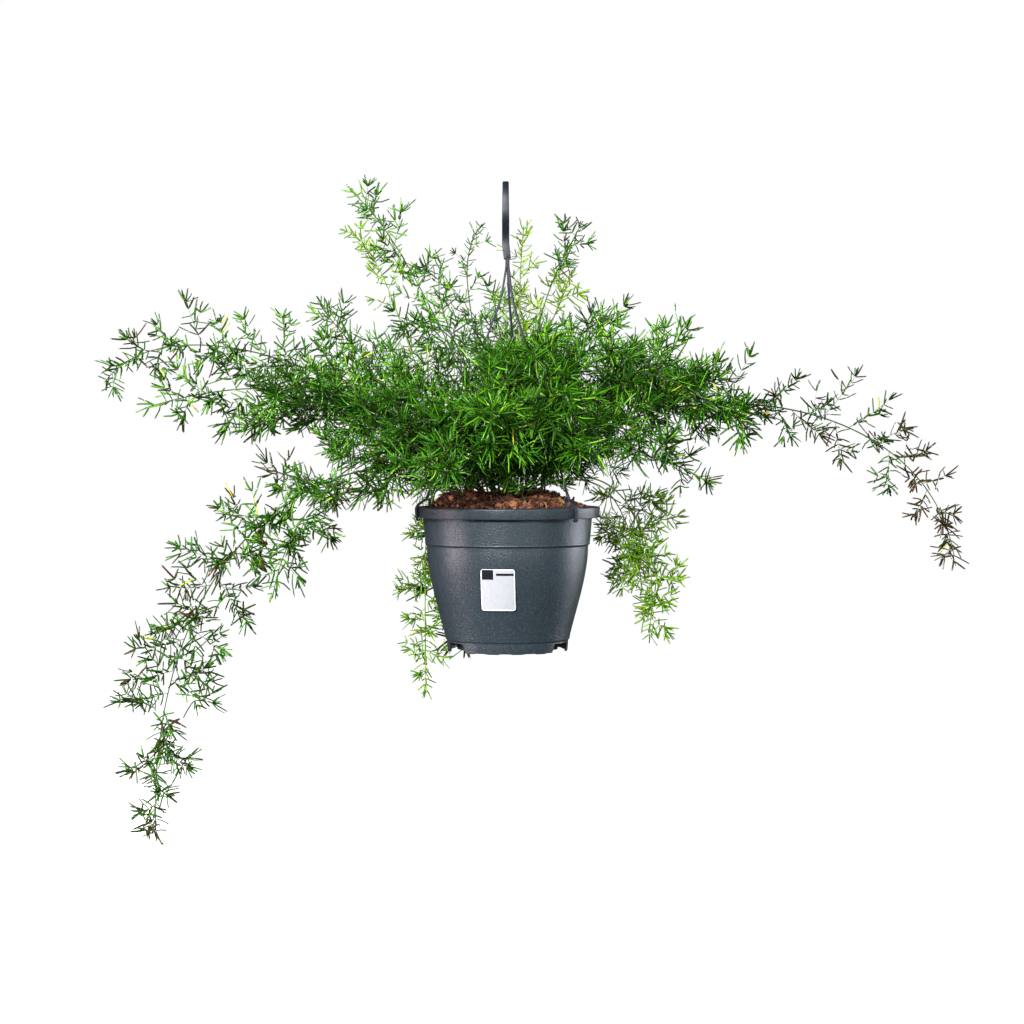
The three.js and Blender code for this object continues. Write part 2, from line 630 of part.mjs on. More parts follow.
/** A side spray: a slim core that leaves the stem, curves a little upwards and carries whorls of needles. */
function spray(stalk, index) {
  const { slot: owner, length, bare, spread } = stalk;
  const run = bare + (index + 0.5 * draw(owner, index, 2)) * SPRAY.pitch;
  const { place, frame } = stalk.at(run);
  const share = (run - bare) / (length - bare);
  const swell = Math.sin(Math.PI * (0.15 + 0.8 * share)); // the longest sprays are halfway out
  const full = (20 + 32 * swell * spread) * (0.8 + 0.4 * draw(owner, index, 3));
  const lean = radians(SPRAY.tilt + 20 * (draw(owner, index, 4) - 0.5));
  const turn = SPRAY.golden * Math.floor(index / SPRAY.every) + 50 * draw(owner, index, 5);
  for (const [swing, part] of SPRAY_TRIES) {
    const angle = radians(turn + swing);
    const way = frame.t.clone().multiplyScalar(Math.cos(lean));
    way.addScaledVector(frame.u, Math.sin(lean) * Math.cos(angle));
    way.addScaledVector(frame.s, Math.sin(lean) * Math.sin(angle)).normalize();
    const reach = full * part;
    const rise = SPRAY.lift / full;
    const pointAt = (s) => place.clone().addScaledVector(way, s).add(vector(0, 0, rise * s * s));
    const hint = Math.abs(way.z) > 0.8 ? frame.t : vector(0, 0, 1);
    const placeAt = (s) => {
      const t = pointAt(s + 0.5).sub(pointAt(s - 0.5)).normalize();
      return { place: pointAt(s), frame: frameAlong(t, hint.clone().cross(t).normalize()) };
    };
    const [start, knee, end] = [pointAt(SPRAY.bare * 0.7), pointAt(reach * 0.55), pointAt(reach)];
    const girth = SPRAY.radius + 0.3;
    if (!isClear(owner, start, knee, girth) || !isClear(owner, knee, end, girth)) continue;
    addBar(owner, place, knee, girth);
    addBar(owner, knee, end, girth);
    const radiusAt = (s) => SPRAY.radius * (1 - (0.25 * s) / full);
    const count = Math.max(2, Math.round((reach - SPRAY.bare) / WHORL.spacing));
    const spacing = (reach - SPRAY.bare - WHORL.length) / (count - 1);
    const root = placeAt(0);
    const stations = [{ ring: triangleRing(root.place, root.frame, SPRAY.radius, 0) }];
    addWhorls(stations, owner, placeAt, SPRAY.bare, count, spacing, radiusAt, 0, index * 10);
    const last = placeAt(reach);
    return solidOf(shootGeometry(stations, endNeedle(owner, last, radiusAt(reach))));
  }
  return null;
}

/** One whole stem: its stalk with whorls at the tip, and its side sprays, fused. */
function leafyStem(stalk) {
  const { slot: owner, foot, at, joints, steps, length, leafStart, bare, frame } = stalk;
  const { tipCount, tipSpacing } = WHORL;
  const radiusAt = (run) => stalkRadius(run, length);
  const stations = [{ ring: triangleRing(foot, frame, radiusAt(0), 0) }];
  for (const run of joints.slice(0, steps + 1)) {
    const here = at(run);
    stations.push({ ring: triangleRing(here.place, run ? here.frame : frame, radiusAt(run), 0) });
  }
  addWhorls(stations, owner, at, leafStart, tipCount, tipSpacing, radiusAt, 0, 900);
  const last = at(leafStart + (tipCount - 1) * tipSpacing + WHORL.length);
  const parts = [solidOf(shootGeometry(stations, endNeedle(owner, last, radiusAt(length))))];
  const count = Math.floor((leafStart - bare) / SPRAY.pitch);
  const first = Math.floor(draw(owner, 0, 6) * SPRAY.every * 0.5);
  for (let index = first; index <= count; index += SPRAY.every) {
    const side = spray(stalk, index);
    if (side) parts.push(side);
  }
  return wasm.Manifold.union(parts).decompose().sort((a, b) => b.volume() - a.volume())[0];
}

/** The bars that the hanger and the bare stalks put in the way of foliage, in the pot's frame. */
function addStandingBars(stalks) {
  const shank = [vector(0, 0, RIM_DROP + HOOK.foot), vector(0, -10, RIM_DROP)];
  addBar("hanger", ...shank, HOOK.width);
  for (let i = 0; i < 3; i++) {
    const degrees = FIRST_CLIP + 120 * i;
    const points = strandPoints(degrees, 14).map((p) => p.add(vector(0, 0, RIM_DROP)));
    points.slice(1).forEach((p, k) => addBar("hanger", points[k], p, STRAND.width * 0.62));
    const upright = vector(0, 0, 1);
    const at = (radius, height) => vector(radius, 0, height).applyAxisAngle(upright, radians(degrees));
    const [bridge, lip] = [CLIP.top - 2, POT.rimRadius + 1];
    addBar("hanger", at(CLIP.inner, bridge), at(lip + 1, bridge), CLIP.width * 0.8);
    addBar("hanger", at(lip, bridge), at(lip, CLIP.outerFoot), CLIP.width * 0.8);
  }
  for (const { slot, at, joints, length } of stalks) {
    joints.slice(1).forEach((to, k) => {
      addBar(slot, at(joints[k]).place, at(to).place, stalkRadius(joints[k], length) + 0.2);
    });
  }
}

const root = new THREE.Group();
root.add(meshOf("hanger", hanger(), MATERIALS.hanger));

const potted = new THREE.Group(); // its origin is the middle of the rim's top
potted.position.z = -RIM_DROP;
root.add(potted);

const stalks = STEMS.map(stalkOf);
addStandingBars(stalks);
potted.add(meshOf("pot", pot(), MATERIALS.pot));
potted.add(meshOf("soil", soil(stalks), MATERIALS.soil));
potted.add(meshOf("label", solidOf(label()), MATERIALS.label));
stalks.forEach((stalk, i) => {
  const name = `stem_${String(i + 1).padStart(2, "0")}`;
  potted.add(meshOf(name, leafyStem(stalk), stalk.young ? MATERIALS.young : MATERIALS.mature));
});

export default root;
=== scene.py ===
"""The looks of a sprengeri asparagus fern in a moulded hanging pot.

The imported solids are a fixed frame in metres, with its origin on the seat of the pot's rod hook. Every
piece made here stands for one of those solids and keeps its place. Inside the classes lengths are
millimetres, heights count from the top of the pot's rim, and a Draft turns both into the frame's metres
when its mesh is made.
"""

import logging
import math
from collections.abc import Iterable, Sequence
from dataclasses import dataclass, field
from enum import Enum

import bpy
import numpy as np
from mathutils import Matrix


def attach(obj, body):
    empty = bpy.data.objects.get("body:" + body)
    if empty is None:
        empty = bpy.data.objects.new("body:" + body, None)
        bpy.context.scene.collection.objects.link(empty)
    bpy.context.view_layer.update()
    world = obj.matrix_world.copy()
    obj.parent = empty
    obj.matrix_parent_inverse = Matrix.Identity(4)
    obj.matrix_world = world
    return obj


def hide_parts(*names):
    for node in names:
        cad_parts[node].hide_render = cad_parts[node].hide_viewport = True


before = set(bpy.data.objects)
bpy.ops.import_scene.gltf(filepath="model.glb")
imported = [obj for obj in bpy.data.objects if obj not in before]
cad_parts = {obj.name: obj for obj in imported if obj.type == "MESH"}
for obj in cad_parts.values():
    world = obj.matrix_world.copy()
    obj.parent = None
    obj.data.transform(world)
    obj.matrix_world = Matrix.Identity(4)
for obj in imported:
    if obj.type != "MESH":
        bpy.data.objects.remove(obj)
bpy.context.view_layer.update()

LOG = logging.getLogger("fern")

Array = np.ndarray
Pair = tuple[float, float]
Triple = tuple[float, float, float]
Box = tuple[float, float, float, float]

MM = 0.001
RIM_DROP = 322.0  # from the hook's seat down to the top of the rim
FIRST_CLIP = -44.0  # degrees round from +X, with the other two clips 120 degrees apart
SEED = 4.2  # of the draws that place the sprays
GAP = 0.3  # left between pieces that touch
GOLDEN = 137.5  # degrees from one node to the next on a growing shoot


class Slot(Enum):
    """The record's material slots."""

    POT = "pot_plastic"
    HANGER = "hanger_plastic"
    SOIL = "growing_medium"
    LABEL = "label_paper"
    MATURE = "foliage_mature"
    YOUNG = "foliage_young"


def linear(colour: str) -> tuple[float, float, float, float]:
    """Turns an sRGB hex colour to the linear values that a shader takes.

    Args:
        colour: six hex digits after a hash sign.

    Returns:
        Red, green, blue and an alpha of one.
    """
    shares = [int(colour[i : i + 2], 16) / 255 for i in (1, 3, 5)]
    red, green, blue = (c / 12.92 if c <= 0.04045 else ((c + 0.055) / 1.055) ** 2.4 for c in shares)
    return red, green, blue, 1.0


def per_metre(size: float) -> float:
    """Gives a texture scale for features of a size in millimetres."""
    return 1 / (size * MM)


def add_node(tree: bpy.types.NodeTree, kind: str, links: dict | None = None, **settings) -> bpy.types.Node:
    """Adds one shader node, sets its options and socket values, and links its inputs.

    Args:
        tree: the material's or world's node tree.
        kind: the node's type name.
        links: output sockets by the name or number of the input that each one feeds.
        settings: node options by name, and under "values" the socket values by name or number.

    Returns:
        The new node.
    """
    node = tree.nodes.new(kind)
    values = settings.pop("values", {})
    for name, value in settings.items():
        setattr(node, name, value)
    for name, value in values.items():
        node.inputs[name].default_value = value
    for name, output in (links or {}).items():
        tree.links.new(output, node.inputs[name])
    return node


def colour_ramp(tree: bpy.types.NodeTree, factor: bpy.types.NodeSocket,
                stops: Sequence[tuple[float, str]]) -> bpy.types.NodeSocket:
    """Adds a ramp of sRGB colours.

    Args:
        tree: the material's node tree.
        factor: the socket that the ramp reads.
        stops: pairs of a place from 0 to 1 and a hex colour.

    Returns:
        The ramp's colour socket.
    """
    ramp = add_node(tree, "ShaderNodeValToRGB", {"Fac": factor})
    elements = ramp.color_ramp.elements
    while len(elements) < len(stops):
        elements.new(0.5)
    for element, (place, colour) in zip(elements, stops):
        element.position = place
        element.color = linear(colour)
    return ramp.outputs["Color"]


def new_material(name: str) -> tuple[bpy.types.Material, bpy.types.NodeTree]:
    """Makes an empty material.

    Args:
        name: what the real material is and how it was made.

    Returns:
        The material and its node tree.
    """
    material = bpy.data.materials.new(name)
    material.use_nodes = True
    material.node_tree.nodes.clear()
    return material, material.node_tree


def add_shader(tree: bpy.types.NodeTree, links: dict, **values: float) -> None:
    """Ends a material's tree with a principled shader.

    Args:
        tree: the material's node tree.
        links: output sockets by the name of the shader's input that each one feeds.
        values: constants by the name of the shader's input that holds each one.
    """
    shader = add_node(tree, "ShaderNodeBsdfPrincipled", links, values=values)
    add_node(tree, "ShaderNodeOutputMaterial", {"Surface": shader.outputs["BSDF"]})


@dataclass(frozen=True)
class MouldedPlastic:
    """Moulded polypropylene with a spark-eroded grain: a satin skin whose fine pits break up its gloss."""

    name: str
    body: str
    shade: str
    # the pale tone of the specks, which are painted glints off the grain's pits
    glint_tone: str
    roughness: float = 0.42
    grain: float = 1.5  # the real pits are 0.3 mm, drawn coarser so that they show
    relief: float = 0.16
    scuff: float = 26.0  # clouds of handling, a little duller and darker than the rest

    def material(self) -> bpy.types.Material:
        """Makes the plastic: two near tones in clouds, pale specks of painted glint, and the grain as low
        relief.

        Returns:
            The material.
        """
        material, tree = new_material(self.name)
        place = add_node(tree, "ShaderNodeTexCoord").outputs["Object"]
        cloud = add_node(tree, "ShaderNodeTexNoise", {"Vector": place}, values={
            "Scale": per_metre(self.scuff), "Detail": 5.0, "Roughness": 0.62})
        tone = colour_ramp(tree, cloud.outputs["Fac"], [(0.3, self.shade), (0.62, self.body)])
        grain = add_node(tree, "ShaderNodeTexNoise", {"Vector": place}, values={
            "Scale": per_metre(self.grain), "Detail": 2.0, "Roughness": 0.7})
        # pale specks where the grain is high: painted glints off its pits
        glint_specks = add_node(tree, "ShaderNodeMapRange", {"Value": grain.outputs["Fac"]}, values={
            "From Min": 0.5, "From Max": 0.75, "To Min": 0.0, "To Max": 0.7})
        mixed = add_node(tree, "ShaderNodeMix", {"Factor": glint_specks.outputs["Result"], "A": tone},
                         data_type="RGBA", values={"B": linear(self.glint_tone)})
        gloss = add_node(tree, "ShaderNodeMapRange", {"Value": cloud.outputs["Fac"]}, values={
            "From Min": 0.3, "From Max": 0.7,
            "To Min": self.roughness + 0.07, "To Max": self.roughness - 0.05})
        bump = add_node(tree, "ShaderNodeBump", {"Height": grain.outputs["Fac"]}, values={
            "Strength": 0.9, "Distance": self.relief * MM})
        add_shader(tree, {"Base Color": mixed.outputs["Result"], "Roughness": gloss.outputs["Result"],
                          "Normal": bump.outputs["Normal"]}, IOR=1.49)
        return material


@dataclass(frozen=True)
class NeedleSkin:
    """Living needles: a waxed green skin, a pale midrib with painted highlight, faded at root and brown at
    tip.
    """

    name: str
    tones: tuple[tuple[float, str], ...]
    root: str
    tip: str
    browning: float = 0.5  # how much of the tip's colour shows at the very end
    mottle: float = 9.0  # patches that run over several needles, so that a tuft isn't one flat green
    roughness: float = 0.2

    def material(self) -> bpy.types.Material:
        """Makes the skin from the mesh's own tint and along attributes.

        Returns:
            The material.
        """
        material, tree = new_material(self.name)
        tint = add_node(tree, "ShaderNodeAttribute", attribute_name="tint").outputs["Fac"]
        along = add_node(tree, "ShaderNodeAttribute", attribute_name="along").outputs["Fac"]
        place = add_node(tree, "ShaderNodeTexCoord").outputs["Object"]
        patches = add_node(tree, "ShaderNodeTexNoise", {"Vector": place}, values={
            "Scale": per_metre(self.mottle), "Detail": 3.0, "Roughness": 0.6})
        uneven = add_node(tree, "ShaderNodeMath", {0: patches.outputs["Fac"]}, operation="MULTIPLY_ADD",
                          values={1: 0.3, 2: -0.15})
        shade = add_node(tree, "ShaderNodeMath", {0: tint, 1: uneven.outputs["Value"]}, operation="ADD")
        green = colour_ramp(tree, shade.outputs["Value"], self.tones)
        fade = add_node(tree, "ShaderNodeMapRange", {"Value": along}, values={
            "From Min": 0.0, "From Max": 0.22, "To Min": 0.55, "To Max": 0.0})
        rooted = add_node(tree, "ShaderNodeMix", {"Factor": fade.outputs["Result"], "A": green},
                          data_type="RGBA", values={"B": linear(self.root)})
        dry = add_node(tree, "ShaderNodeMapRange", {"Value": along}, values={
            "From Min": 0.78, "From Max": 1.0, "To Min": 0.0, "To Max": self.browning})
        tipped = add_node(tree, "ShaderNodeMix", {
            "Factor": dry.outputs["Result"], "A": rooted.outputs["Result"]},
            data_type="RGBA", values={"B": linear(self.tip)})
        add_shader(tree, {"Base Color": tipped.outputs["Result"]}, Roughness=self.roughness, IOR=1.5)
        return material


@dataclass(frozen=True)
class StalkSkin:
    """A wiry stalk: a ribbed, half-woody green skin that turns straw-brown towards the soil."""

    name: str
    green: str
    straw: str
    blotch: float = 6.0

    def material(self) -> bpy.types.Material:
        """Makes the skin from the along attribute, with fine blotches.

        Returns:
            The material.
        """
        material, tree = new_material(self.name)
        along = add_node(tree, "ShaderNodeAttribute", attribute_name="along").outputs["Fac"]
        place = add_node(tree, "ShaderNodeTexCoord").outputs["Object"]
        patches = add_node(tree, "ShaderNodeTexNoise", {"Vector": place}, values={
            "Scale": per_metre(self.blotch), "Detail": 4.0, "Roughness": 0.65})
        worn = add_node(tree, "ShaderNodeMath", {0: patches.outputs["Fac"]}, operation="MULTIPLY_ADD",
                        values={1: 0.2, 2: -0.1})
        age = add_node(tree, "ShaderNodeMath", {0: along, 1: worn.outputs["Value"]}, operation="ADD")
        tone = colour_ramp(tree, age.outputs["Value"], [(0.02, self.straw), (0.2, self.green)])
        bump = add_node(tree, "ShaderNodeBump", {"Height": patches.outputs["Fac"]}, values={
            "Strength": 0.4, "Distance": 0.1 * MM})
        add_shader(tree, {"Base Color": tone, "Normal": bump.outputs["Normal"]}, Roughness=0.5)
        return material


@dataclass(frozen=True)
class BarkAndCoir:
    """Shredded bark and coir: matt torn fibres from near black through fox red to straw."""

    name: str = "shredded bark and coir"
    tones: tuple[tuple[float, str], ...] = (
        (0.0, "#120906"), (0.3, "#3c1f13"), (0.55, "#7d4930"), (0.78, "#a87048"), (1.0, "#dcb87c"))
    fibre: float = 1.6  # torn strands across, as wide as the real ones

    def material(self) -> bpy.types.Material:
        """Makes the medium from the tint attribute, with torn grain in its colour and relief.

        Returns:
            The material.
        """
        material, tree = new_material(self.name)
        tint = add_node(tree, "ShaderNodeAttribute", attribute_name="tint").outputs["Fac"]
        place = add_node(tree, "ShaderNodeTexCoord").outputs["Object"]
        torn = add_node(tree, "ShaderNodeTexNoise", {"Vector": place}, values={
            "Scale": per_metre(self.fibre), "Detail": 5.0, "Roughness": 0.7, "Distortion": 1.2})
        spread = add_node(tree, "ShaderNodeMath", {0: torn.outputs["Fac"]}, operation="MULTIPLY_ADD",
                          values={1: 0.6, 2: -0.3})
        shade = add_node(tree, "ShaderNodeMath", {0: tint, 1: spread.outputs["Value"]}, operation="ADD")
        tone = colour_ramp(tree, shade.outputs["Value"], self.tones)
        bump = add_node(tree, "ShaderNodeBump", {"Height": torn.outputs["Fac"]}, values={
            "Strength": 0.9, "Distance": 0.5 * MM})
        add_shader(tree, {"Base Color": tone, "Normal": bump.outputs["Normal"]}, Roughness=0.88)
        return material


@dataclass(frozen=True)
class PrintedPaper:
    """Coated label paper or the ink on it: a smooth half-matt sheet with a faint cloud of fibres."""

    name: str
    colour: str
    cloud: str
    roughness: float = 0.5
    fibre: float = 4.0  # the real fibres are under a tenth of this, too fine for the picture

    def material(self) -> bpy.types.Material:
        """Makes the sheet: one tone with a second, near one in soft clouds, and fibres as a very low relief.

        Returns:
            The material.
        """
        material, tree = new_material(self.name)
        place = add_node(tree, "ShaderNodeTexCoord").outputs["Object"]
        fibres = add_node(tree, "ShaderNodeTexNoise", {"Vector": place}, values={
            "Scale": per_metre(self.fibre), "Detail": 4.0, "Roughness": 0.6})
        tone = colour_ramp(tree, fibres.outputs["Fac"], [(0.35, self.cloud), (0.65, self.colour)])
        bump = add_node(tree, "ShaderNodeBump", {"Height": fibres.outputs["Fac"]}, values={
            "Strength": 0.2, "Distance": 0.03 * MM})
        add_shader(tree, {"Base Color": tone, "Normal": bump.outputs["Normal"]}, Roughness=self.roughness)
        return material


def unit(vectors: Array) -> Array:
    """Scales vectors, held along the last axis, to a length of one."""
    return vectors / np.maximum(np.linalg.norm(vectors, axis=-1, keepdims=True), 1e-12)


def across_frame(ways: Array, hint: Array) -> tuple[Array, Array]:
    """Gives two unit vectors that span the section of each direction.

    The second is the hint with its share along the direction taken out, and the first is the second
    crossed with the direction, so that first x second = direction.

    Args:
        ways: unit directions along the last axis.
        hint: a vector, or one for each direction, that isn't parallel to it.

    Returns:
        The first and the second vectors.
    """
    second = unit(hint - ways * np.sum(hint * ways, axis=-1, keepdims=True))
    return np.cross(second, ways), second


def round_z(points: Array, degrees: float | Array) -> Array:
    """Turns points about the Z axis.

    Args:
        points: any array with coordinates along its last axis.
        degrees: one angle for all points, or an angle for each.

    Returns:
        The turned points.
    """
    angle = np.radians(degrees)
    x, y, z = np.moveaxis(np.asarray(points, float), -1, 0)
    c, s = np.cos(angle), np.sin(angle)
    return np.stack([x * c - y * s, x * s + y * c, z + 0 * angle], -1)


def turned(radius: Array, height: Array, angle: Array) -> Array:
    """Turns an outline about the Z axis: its point (r, h) becomes (r cos a, r sin a, h) at each angle a.

    Args:
        radius: the outline's radii.
        height: its heights.
        angle: the angles, in radians.

    Returns:
        A ring of points for each point of the outline.
    """
    return np.stack([radius[:, None] * np.cos(angle), radius[:, None] * np.sin(angle),
                     np.broadcast_to(height[:, None], (len(height), len(angle)))], -1)


def bezier(controls: Sequence[Pair] | Array, shares: Array) -> Array:
    """Gives points of a cubic curve, (1-t)^3 A + 3t(1-t)^2 B + 3t^2(1-t) C + t^3 D.

    Args:
        controls: the points A, B, C and D.
        shares: the values of t, from 0 to 1.

    Returns:
        The curve's points.
    """
    a, b, c, d = np.asarray(controls, float)
    t = np.asarray(shares, float)[..., None]
    return (1 - t) ** 3 * a + 3 * t * (1 - t) ** 2 * b + 3 * t**2 * (1 - t) * c + t**3 * d


def rounded(corners: Sequence[Pair] | Array, radius: float | Array, steps: int = 5) -> Array:
    """Rounds the inner corners of an open outline.

    A corner C becomes the curve (1-t)^2 P + 2t(1-t) C + t^2 Q, where P and Q lie on its two edges at the
    radius from it, or at 0.45 of an edge that is too short for that.

    Args:
        corners: the outline's corners.
        radius: one reach for all inner corners, or one for each.
        steps: how many points each corner becomes.

    Returns:
        The outline's points.
    """
    corners = np.asarray(corners, float)
    edges = np.diff(corners, axis=0)
    lengths = np.linalg.norm(edges, axis=1)
    ways = edges / lengths[:, None]
    cut = np.minimum(radius, 0.45 * np.minimum(lengths[:-1], lengths[1:]))[:, None]
    middle = corners[1:-1]
    start, end = middle - ways[:-1] * cut, middle + ways[1:] * cut
    t = np.linspace(0, 1, steps)[None, :, None]
    arcs = (1 - t) ** 2 * start[:, None] + 2 * t * (1 - t) * middle[:, None] + t**2 * end[:, None]
    return np.vstack([corners[:1], arcs.reshape(-1, corners.shape[1]), corners[-1:]])


def evenly(points: Array, count: int) -> Array:
    """Places points at even steps of length along a line of points.

    Args:
        points: the line's points.
        count: how many to place.

    Returns:
        The evenly spaced points, ends included.
    """
    runs = np.concatenate([[0], np.cumsum(np.linalg.norm(np.diff(points, axis=0), axis=1))])
    wanted = np.linspace(0, runs[-1], count)
    return np.stack([np.interp(wanted, runs, points[:, k]) for k in range(points.shape[1])], -1)


@dataclass
class Draft:
    """A mesh that is gathered from whole arrays of points and faces."""

    name: str
    points: list[Array] = field(default_factory=list)
    faces: list[tuple[Array, int]] = field(default_factory=list)
    values: dict[str, list[Array]] = field(default_factory=lambda: {"tint": [], "along": []})
    count: int = 0

    def add(self, points: Array, faces: Iterable[Array], finish: int = 0, tint: float | Array = 0.5,
            along: float | Array = 0.5) -> None:
        """Adds points, their faces and their attributes.

        Args:
            points: millimetres, with heights above the rim, along the last axis.
            faces: arrays of three or four point numbers a face.
            finish: the number of the material slot.
            tint: a colour draw, one value or one a point.
            along: a share of length, one value or one a point.
        """
        points = points.reshape(-1, 3)
        for group in faces:
            self.faces.append((group.reshape(-1, group.shape[-1]) + self.count, finish))
        for key, value in (("tint", tint), ("along", along)):
            self.values[key].append(np.broadcast_to(np.asarray(value, float), (len(points),)).ravel())
        self.points.append(points)
        self.count += len(points)

    def tubes(self, rings: Array, starts: Array, ends: Array, finish: int = 0, tint: float | Array = 0.5,
              along: float | Array = 0.5) -> None:
        """Adds closed tubes of the same make, each a stack of rings closed to a point at both ends.

        A ring runs anticlockwise about the way of travel, so that all faces point out.

        Args:
            rings: tube, ring, corner and coordinate.
            starts: the first point of each tube.
            ends: the last point of each tube.
            finish: the number of the material slot.
            tint: one value, or one for each corner of each tube.
            along: one value, or one for each ring of each tube.
        """
        tubes, stack, sides, _ = rings.shape
        between = rings.reshape(tubes, stack * sides, 3)
        points = np.concatenate([starts[:, None], between, ends[:, None]], axis=1)
        here = np.arange(sides)
        beyond = (here + 1) % sides
        base = 1 + sides * np.arange(stack - 1)[:, None]
        quads = np.stack([base + here, base + beyond, base + sides + beyond, base + sides + here], -1)
        quads = quads.reshape(-1, 4)
        last = 1 + sides * (stack - 1)
        first_fan = np.stack([0 * here, 1 + beyond, 1 + here], -1)
        last_fan = np.stack([0 * here + last + sides, last + here, last + beyond], -1)
        offsets = (points.shape[1] * np.arange(tubes))[:, None, None]
        shares = np.broadcast_to(np.asarray(along, float), (tubes, stack))
        shares = np.concatenate([shares[:, :1], np.repeat(shares, sides, axis=1), shares[:, -1:]], axis=1)
        tints = np.broadcast_to(np.asarray(tint, float), (tubes, sides))
        middle = tints.mean(axis=1, keepdims=True)
        tints = np.concatenate([middle, np.tile(tints, (1, stack)), middle], axis=1)
        fans = np.concatenate([first_fan, last_fan])
        faces = [quads[None] + offsets, fans[None] + offsets]
        self.add(points, faces, finish, tints.ravel(), shares.ravel())

    def carried(self, path: Array, half_side: Array, half_depth: Array, side: Array, sides: int = 16,
                squareness: float = 4.0, finish: int = 0) -> None:
        """Carries a rounded-rectangle section along a path and closes its ends to soft noses.

        The section's corners are at +-|cos a|^(2/n) of the half depth and +-|sin a|^(2/n) of the half
        width, a superellipse of power n, and over the last part of each end it shrinks as a quarter
        circle.

        Args:
            path: the points of the middle line.
            half_side: half the width along the side vector, at each point.
            half_depth: half the depth across it, at each point.
            side: a vector near the section's width.
            sides: how many corners the section has.
            squareness: the power n.
            finish: the number of the material slot.
        """
        runs = np.concatenate([[0], np.cumsum(np.linalg.norm(np.diff(path, axis=0), axis=1))])
        ways = unit(np.gradient(path, runs, axis=0))
        depth_way, side_way = across_frame(ways, side)
        angle = 2 * np.pi * np.arange(sides) / sides
        power = 2 / squareness
        depth = np.sign(np.cos(angle)) * np.abs(np.cos(angle)) ** power
        width = np.sign(np.sin(angle)) * np.abs(np.sin(angle)) ** power
        nose = np.minimum(half_depth, half_side)
        ahead = np.minimum(runs, runs[-1] - runs)
        shrink = np.sqrt(np.clip(1 - (1 - np.clip(ahead / nose, 0, 1)) ** 2, 0.02, 1))
        deep = (half_depth * shrink)[:, None, None] * depth[None, :, None] * depth_way[:, None]
        wide = (half_side * shrink)[:, None, None] * width[None, :, None] * side_way[:, None]
        rings = path[:, None] + deep + wide
        self.tubes(rings[None], path[:1], path[-1:], finish)

    def triangles(self) -> int:
        """Counts the mesh's triangles."""
        return sum(len(group) * (group.shape[1] - 2) for group, _ in self.faces)

    def mesh(self) -> bpy.types.Mesh:
        """Makes the mesh, in the frame's metres.

        Returns:
            A smooth mesh with its attributes and material numbers set.
        """
        mesh = bpy.data.meshes.new(self.name)
        points = (np.concatenate(self.points) - (0, 0, RIM_DROP)) * MM
        corners = np.concatenate([group.ravel() for group, _ in self.faces])
        sizes = np.concatenate([np.full(len(group), group.shape[1]) for group, _ in self.faces])
        finishes = np.concatenate([np.full(len(group), finish) for group, finish in self.faces])
        mesh.vertices.add(len(points))
        mesh.vertices.foreach_set("co", points.astype(np.float32).ravel())
        mesh.loops.add(len(corners))
        mesh.loops.foreach_set("vertex_index", corners.astype(np.int32))
        mesh.polygons.add(len(sizes))
        mesh.polygons.foreach_set("loop_start", (np.cumsum(sizes) - sizes).astype(np.int32))
        mesh.polygons.foreach_set("material_index", finishes.astype(np.int32))
        mesh.update(calc_edges=True)
        for key, arrays in self.values.items():
            attribute = mesh.attributes.new(key, "FLOAT", "POINT")
            attribute.data.foreach_set("value", np.concatenate(arrays).astype(np.float32))
        mesh.shade_smooth()
        return mesh


def dress(draft: Draft, nodes: Sequence[str], materials: Sequence[bpy.types.Material],
          crease: float | None = None) -> bpy.types.Object:
    """Turns a draft into a piece that rides on the body, stands for CAD nodes and wears its materials.

    Args:
        draft: the gathered mesh.
        nodes: the CAD nodes that the piece stands for.
        materials: what its material numbers mean.
        crease: the angle in degrees past which an edge stays sharp.

    Returns:
        The piece.
    """
    mesh = draft.mesh()
    if crease is not None:
        mesh.set_sharp_from_angle(angle=math.radians(crease))
    piece = bpy.data.objects.new(draft.name, mesh)
    bpy.context.scene.collection.objects.link(piece)
    for material in materials:
        mesh.materials.append(material)
    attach(piece, "root")
    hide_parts(*nodes)
    LOG.info("%s: %d triangles", draft.name, draft.triangles())
    return piece


